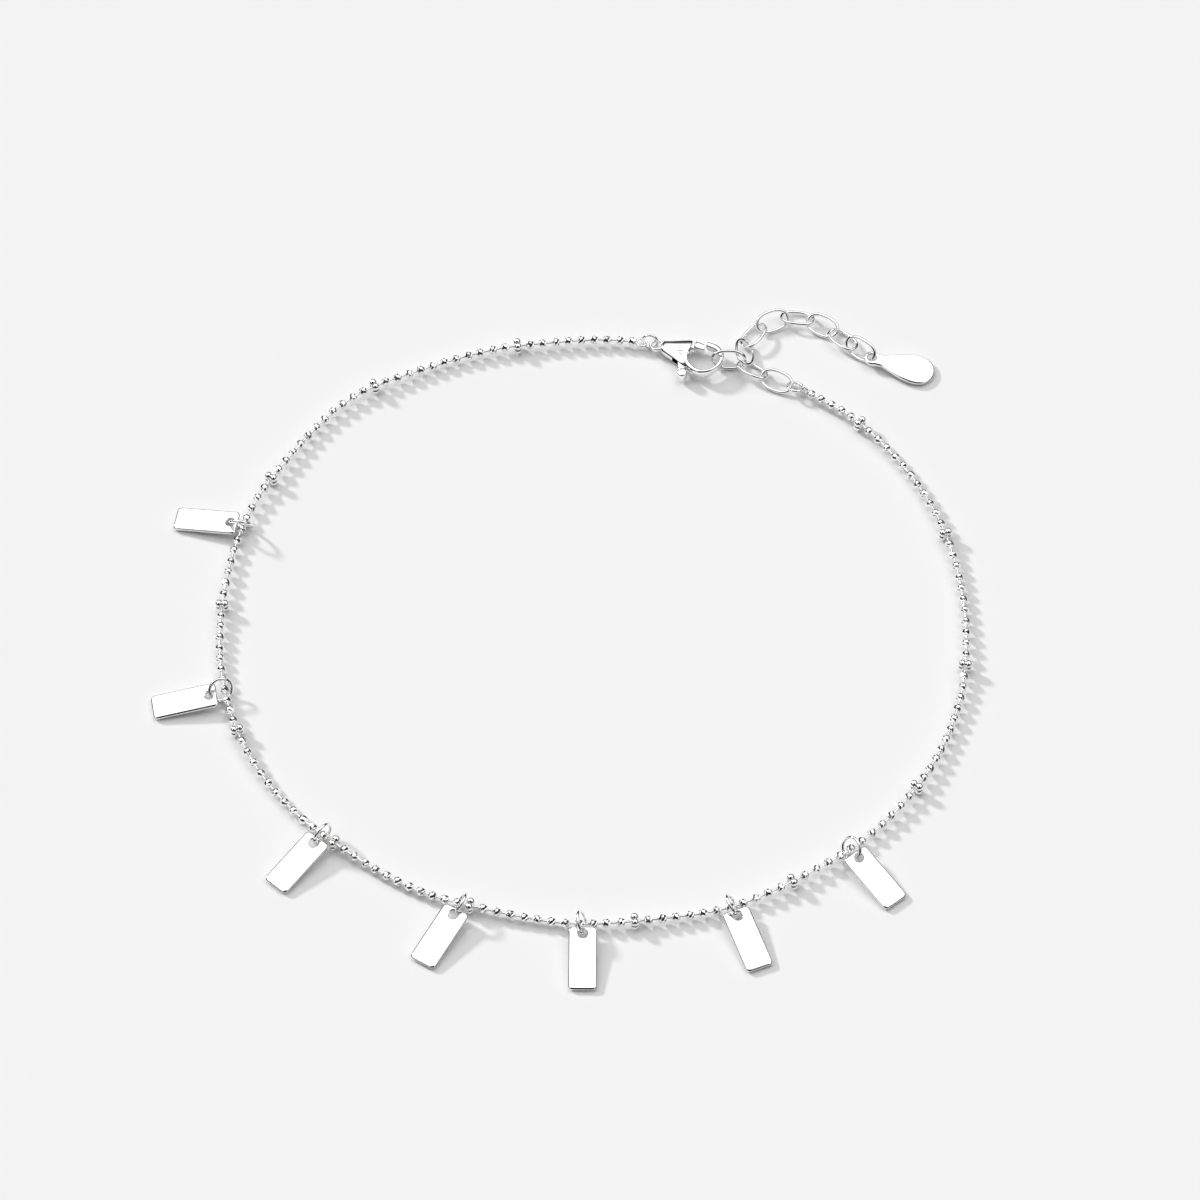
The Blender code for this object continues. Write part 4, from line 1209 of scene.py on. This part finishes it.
@dataclass
class Studio:
    """The floor, the light tent with its key light, and the camera."""

    middle: tuple[float, float, float] = (0.003726, 0.004362, 0.000037)
    camera_elevation: float = 55.5
    camera_distance: float = 0.5
    camera_clip: tuple[float, float] = (0.01, 10.0)
    lens: float = 150.0
    sensor: float = 36.0
    floor_half: float = 2.4
    floor_drop: float = 0.00002
    floor_colour: tuple[float, float, float] = (0.875, 0.875, 0.88)
    floor_shade: float = 0.99
    floor_grain: float = 60.0
    floor_roughness: float = 0.9
    floor_specular: float = 0.1
    tent: float = 1.53
    belt: tuple[float, float] = (27.0, 47.0)
    belt_tone: float = 0.05
    opening_turn: float = -90.0
    opening_elevation: float = 52.0
    opening_edge: tuple[float, float] = (40.0, 22.0)
    opening_tone: float = 0.02
    key_strength: float = 2.1
    key_turn: float = 143.0
    key_elevation: float = 27.0
    key_angle: float = 7.0

    def build_floor(self) -> None:
        """Build the plain pale floor as a stage piece."""
        h = self.floor_half
        corners = [(-h, -h), (h, -h), (h, h), (-h, h)]
        mesh = bpy.data.meshes.new("floor")
        mesh.from_pydata([(x, y, -self.floor_drop) for x, y in corners], [], [(0, 1, 2, 3)])
        material = bpy.data.materials.new("floor_paper")
        material.use_nodes = True
        tree = material.node_tree
        shader = tree.nodes["Principled BSDF"]
        shader.inputs["Roughness"].default_value = self.floor_roughness
        shader.inputs["Specular IOR Level"].default_value = self.floor_specular
        where = new_node(tree, "TexCoord")
        noise = new_node(tree, "TexNoise", {"Scale": self.floor_grain})
        darker = (self.floor_shade * c for c in self.floor_colour)
        tone = new_node(tree, "Mix", {COLOUR_A: (*self.floor_colour, 1.0),
                                      COLOUR_B: (*darker, 1.0)}, data_type="RGBA")
        tree.links.new(where.outputs["Object"], noise.inputs["Vector"])
        tree.links.new(noise.outputs["Fac"], tone.inputs["Factor"])
        tree.links.new(tone.outputs[COLOUR_RESULT], shader.inputs["Base Color"])
        mesh.materials.append(material)
        floor = bpy.data.objects.new("floor", mesh)
        bpy.context.scene.collection.objects.link(floor)

    def build_tent(self) -> None:
        """Build the light tent: bright above a dark belt, with a dark opening for the camera.

        The belt's edge is a smooth step between the sines of two elevations. The opening is a
        soft disc about a direction: where the cosine of the angle to it rises from the outer to
        the inner value, the tent's brightness falls to the opening's.
        """
        world = bpy.data.worlds.new("tent")
        bpy.context.scene.world = world
        world.use_nodes = True
        tree = world.node_tree
        link = tree.links.new
        where = new_node(tree, "TexCoord")
        parts = new_node(tree, "SeparateXYZ")
        link(where.outputs["Generated"], parts.inputs["Vector"])
        low, high = (math.sin(math.radians(angle)) for angle in self.belt)
        wall = new_node(tree, "MapRange", {"From Min": low, "From Max": high,
                                           "To Min": self.belt_tone, "To Max": self.tent},
                        interpolation_type="SMOOTHSTEP")
        link(parts.outputs["Z"], wall.inputs["Value"])
        a, e = math.radians(self.opening_turn), math.radians(self.opening_elevation)
        towards = (math.cos(a) * math.cos(e), math.sin(a) * math.cos(e), math.sin(e))
        dot = new_node(tree, "VectorMath", {1: towards}, operation="DOT_PRODUCT")
        link(where.outputs["Generated"], dot.inputs[0])
        low, high = (math.cos(math.radians(angle)) for angle in self.opening_edge)
        soft = new_node(tree, "MapRange", {"From Min": low, "From Max": high},
                        interpolation_type="SMOOTHSTEP")
        link(dot.outputs["Value"], soft.inputs["Value"])
        mix = new_node(tree, "Mix", {"B": self.opening_tone})
        link(soft.outputs["Result"], mix.inputs["Factor"])
        link(wall.outputs["Result"], mix.inputs["A"])
        link(mix.outputs["Result"], tree.nodes["Background"].inputs["Color"])

    def build_key(self) -> None:
        """Build the soft key light from the far left."""
        light = bpy.data.lights.new("key", "SUN")
        light.energy = self.key_strength
        light.angle = math.radians(self.key_angle)
        key = bpy.data.objects.new("key", light)
        key.rotation_euler = (0.0, math.radians(QUARTER - self.key_elevation),
                              math.radians(self.key_turn))
        bpy.context.scene.collection.objects.link(key)

    def build_camera(self) -> None:
        """Build the camera at the photograph's angle."""
        camera = bpy.data.cameras.new("camera")
        camera.lens = self.lens
        camera.sensor_width = self.sensor
        camera.clip_start, camera.clip_end = self.camera_clip
        eye = bpy.data.objects.new("camera", camera)
        e = math.radians(self.camera_elevation)
        back = np.array([0.0, -math.cos(e), math.sin(e)]) * self.camera_distance
        eye.location = np.array(self.middle) + back
        eye.rotation_euler = (math.pi / 2.0 - e, 0.0, 0.0)
        bpy.context.scene.collection.objects.link(eye)
        bpy.context.scene.camera = eye

    def build(self) -> None:
        """Build the studio."""
        self.build_floor()
        self.build_tent()
        self.build_key()
        self.build_camera()
        bpy.context.scene.view_settings.view_transform = "Standard"
        log.info("studio")


def main() -> None:
    """Build the bracelet's pieces and its studio in order."""
    logging.basicConfig(level=logging.INFO, format="%(name)s %(message)s")
    finishes = Finishes()
    strand = BeadStrand()
    strand.build(finishes)
    AccentBeads(strand).build(finishes)
    Tags().build(finishes)
    Rings().build(finishes)
    Extender().build(finishes)
    Clasp().build(finishes)
    Studio().build()


if __name__ == "__main__":
    main()
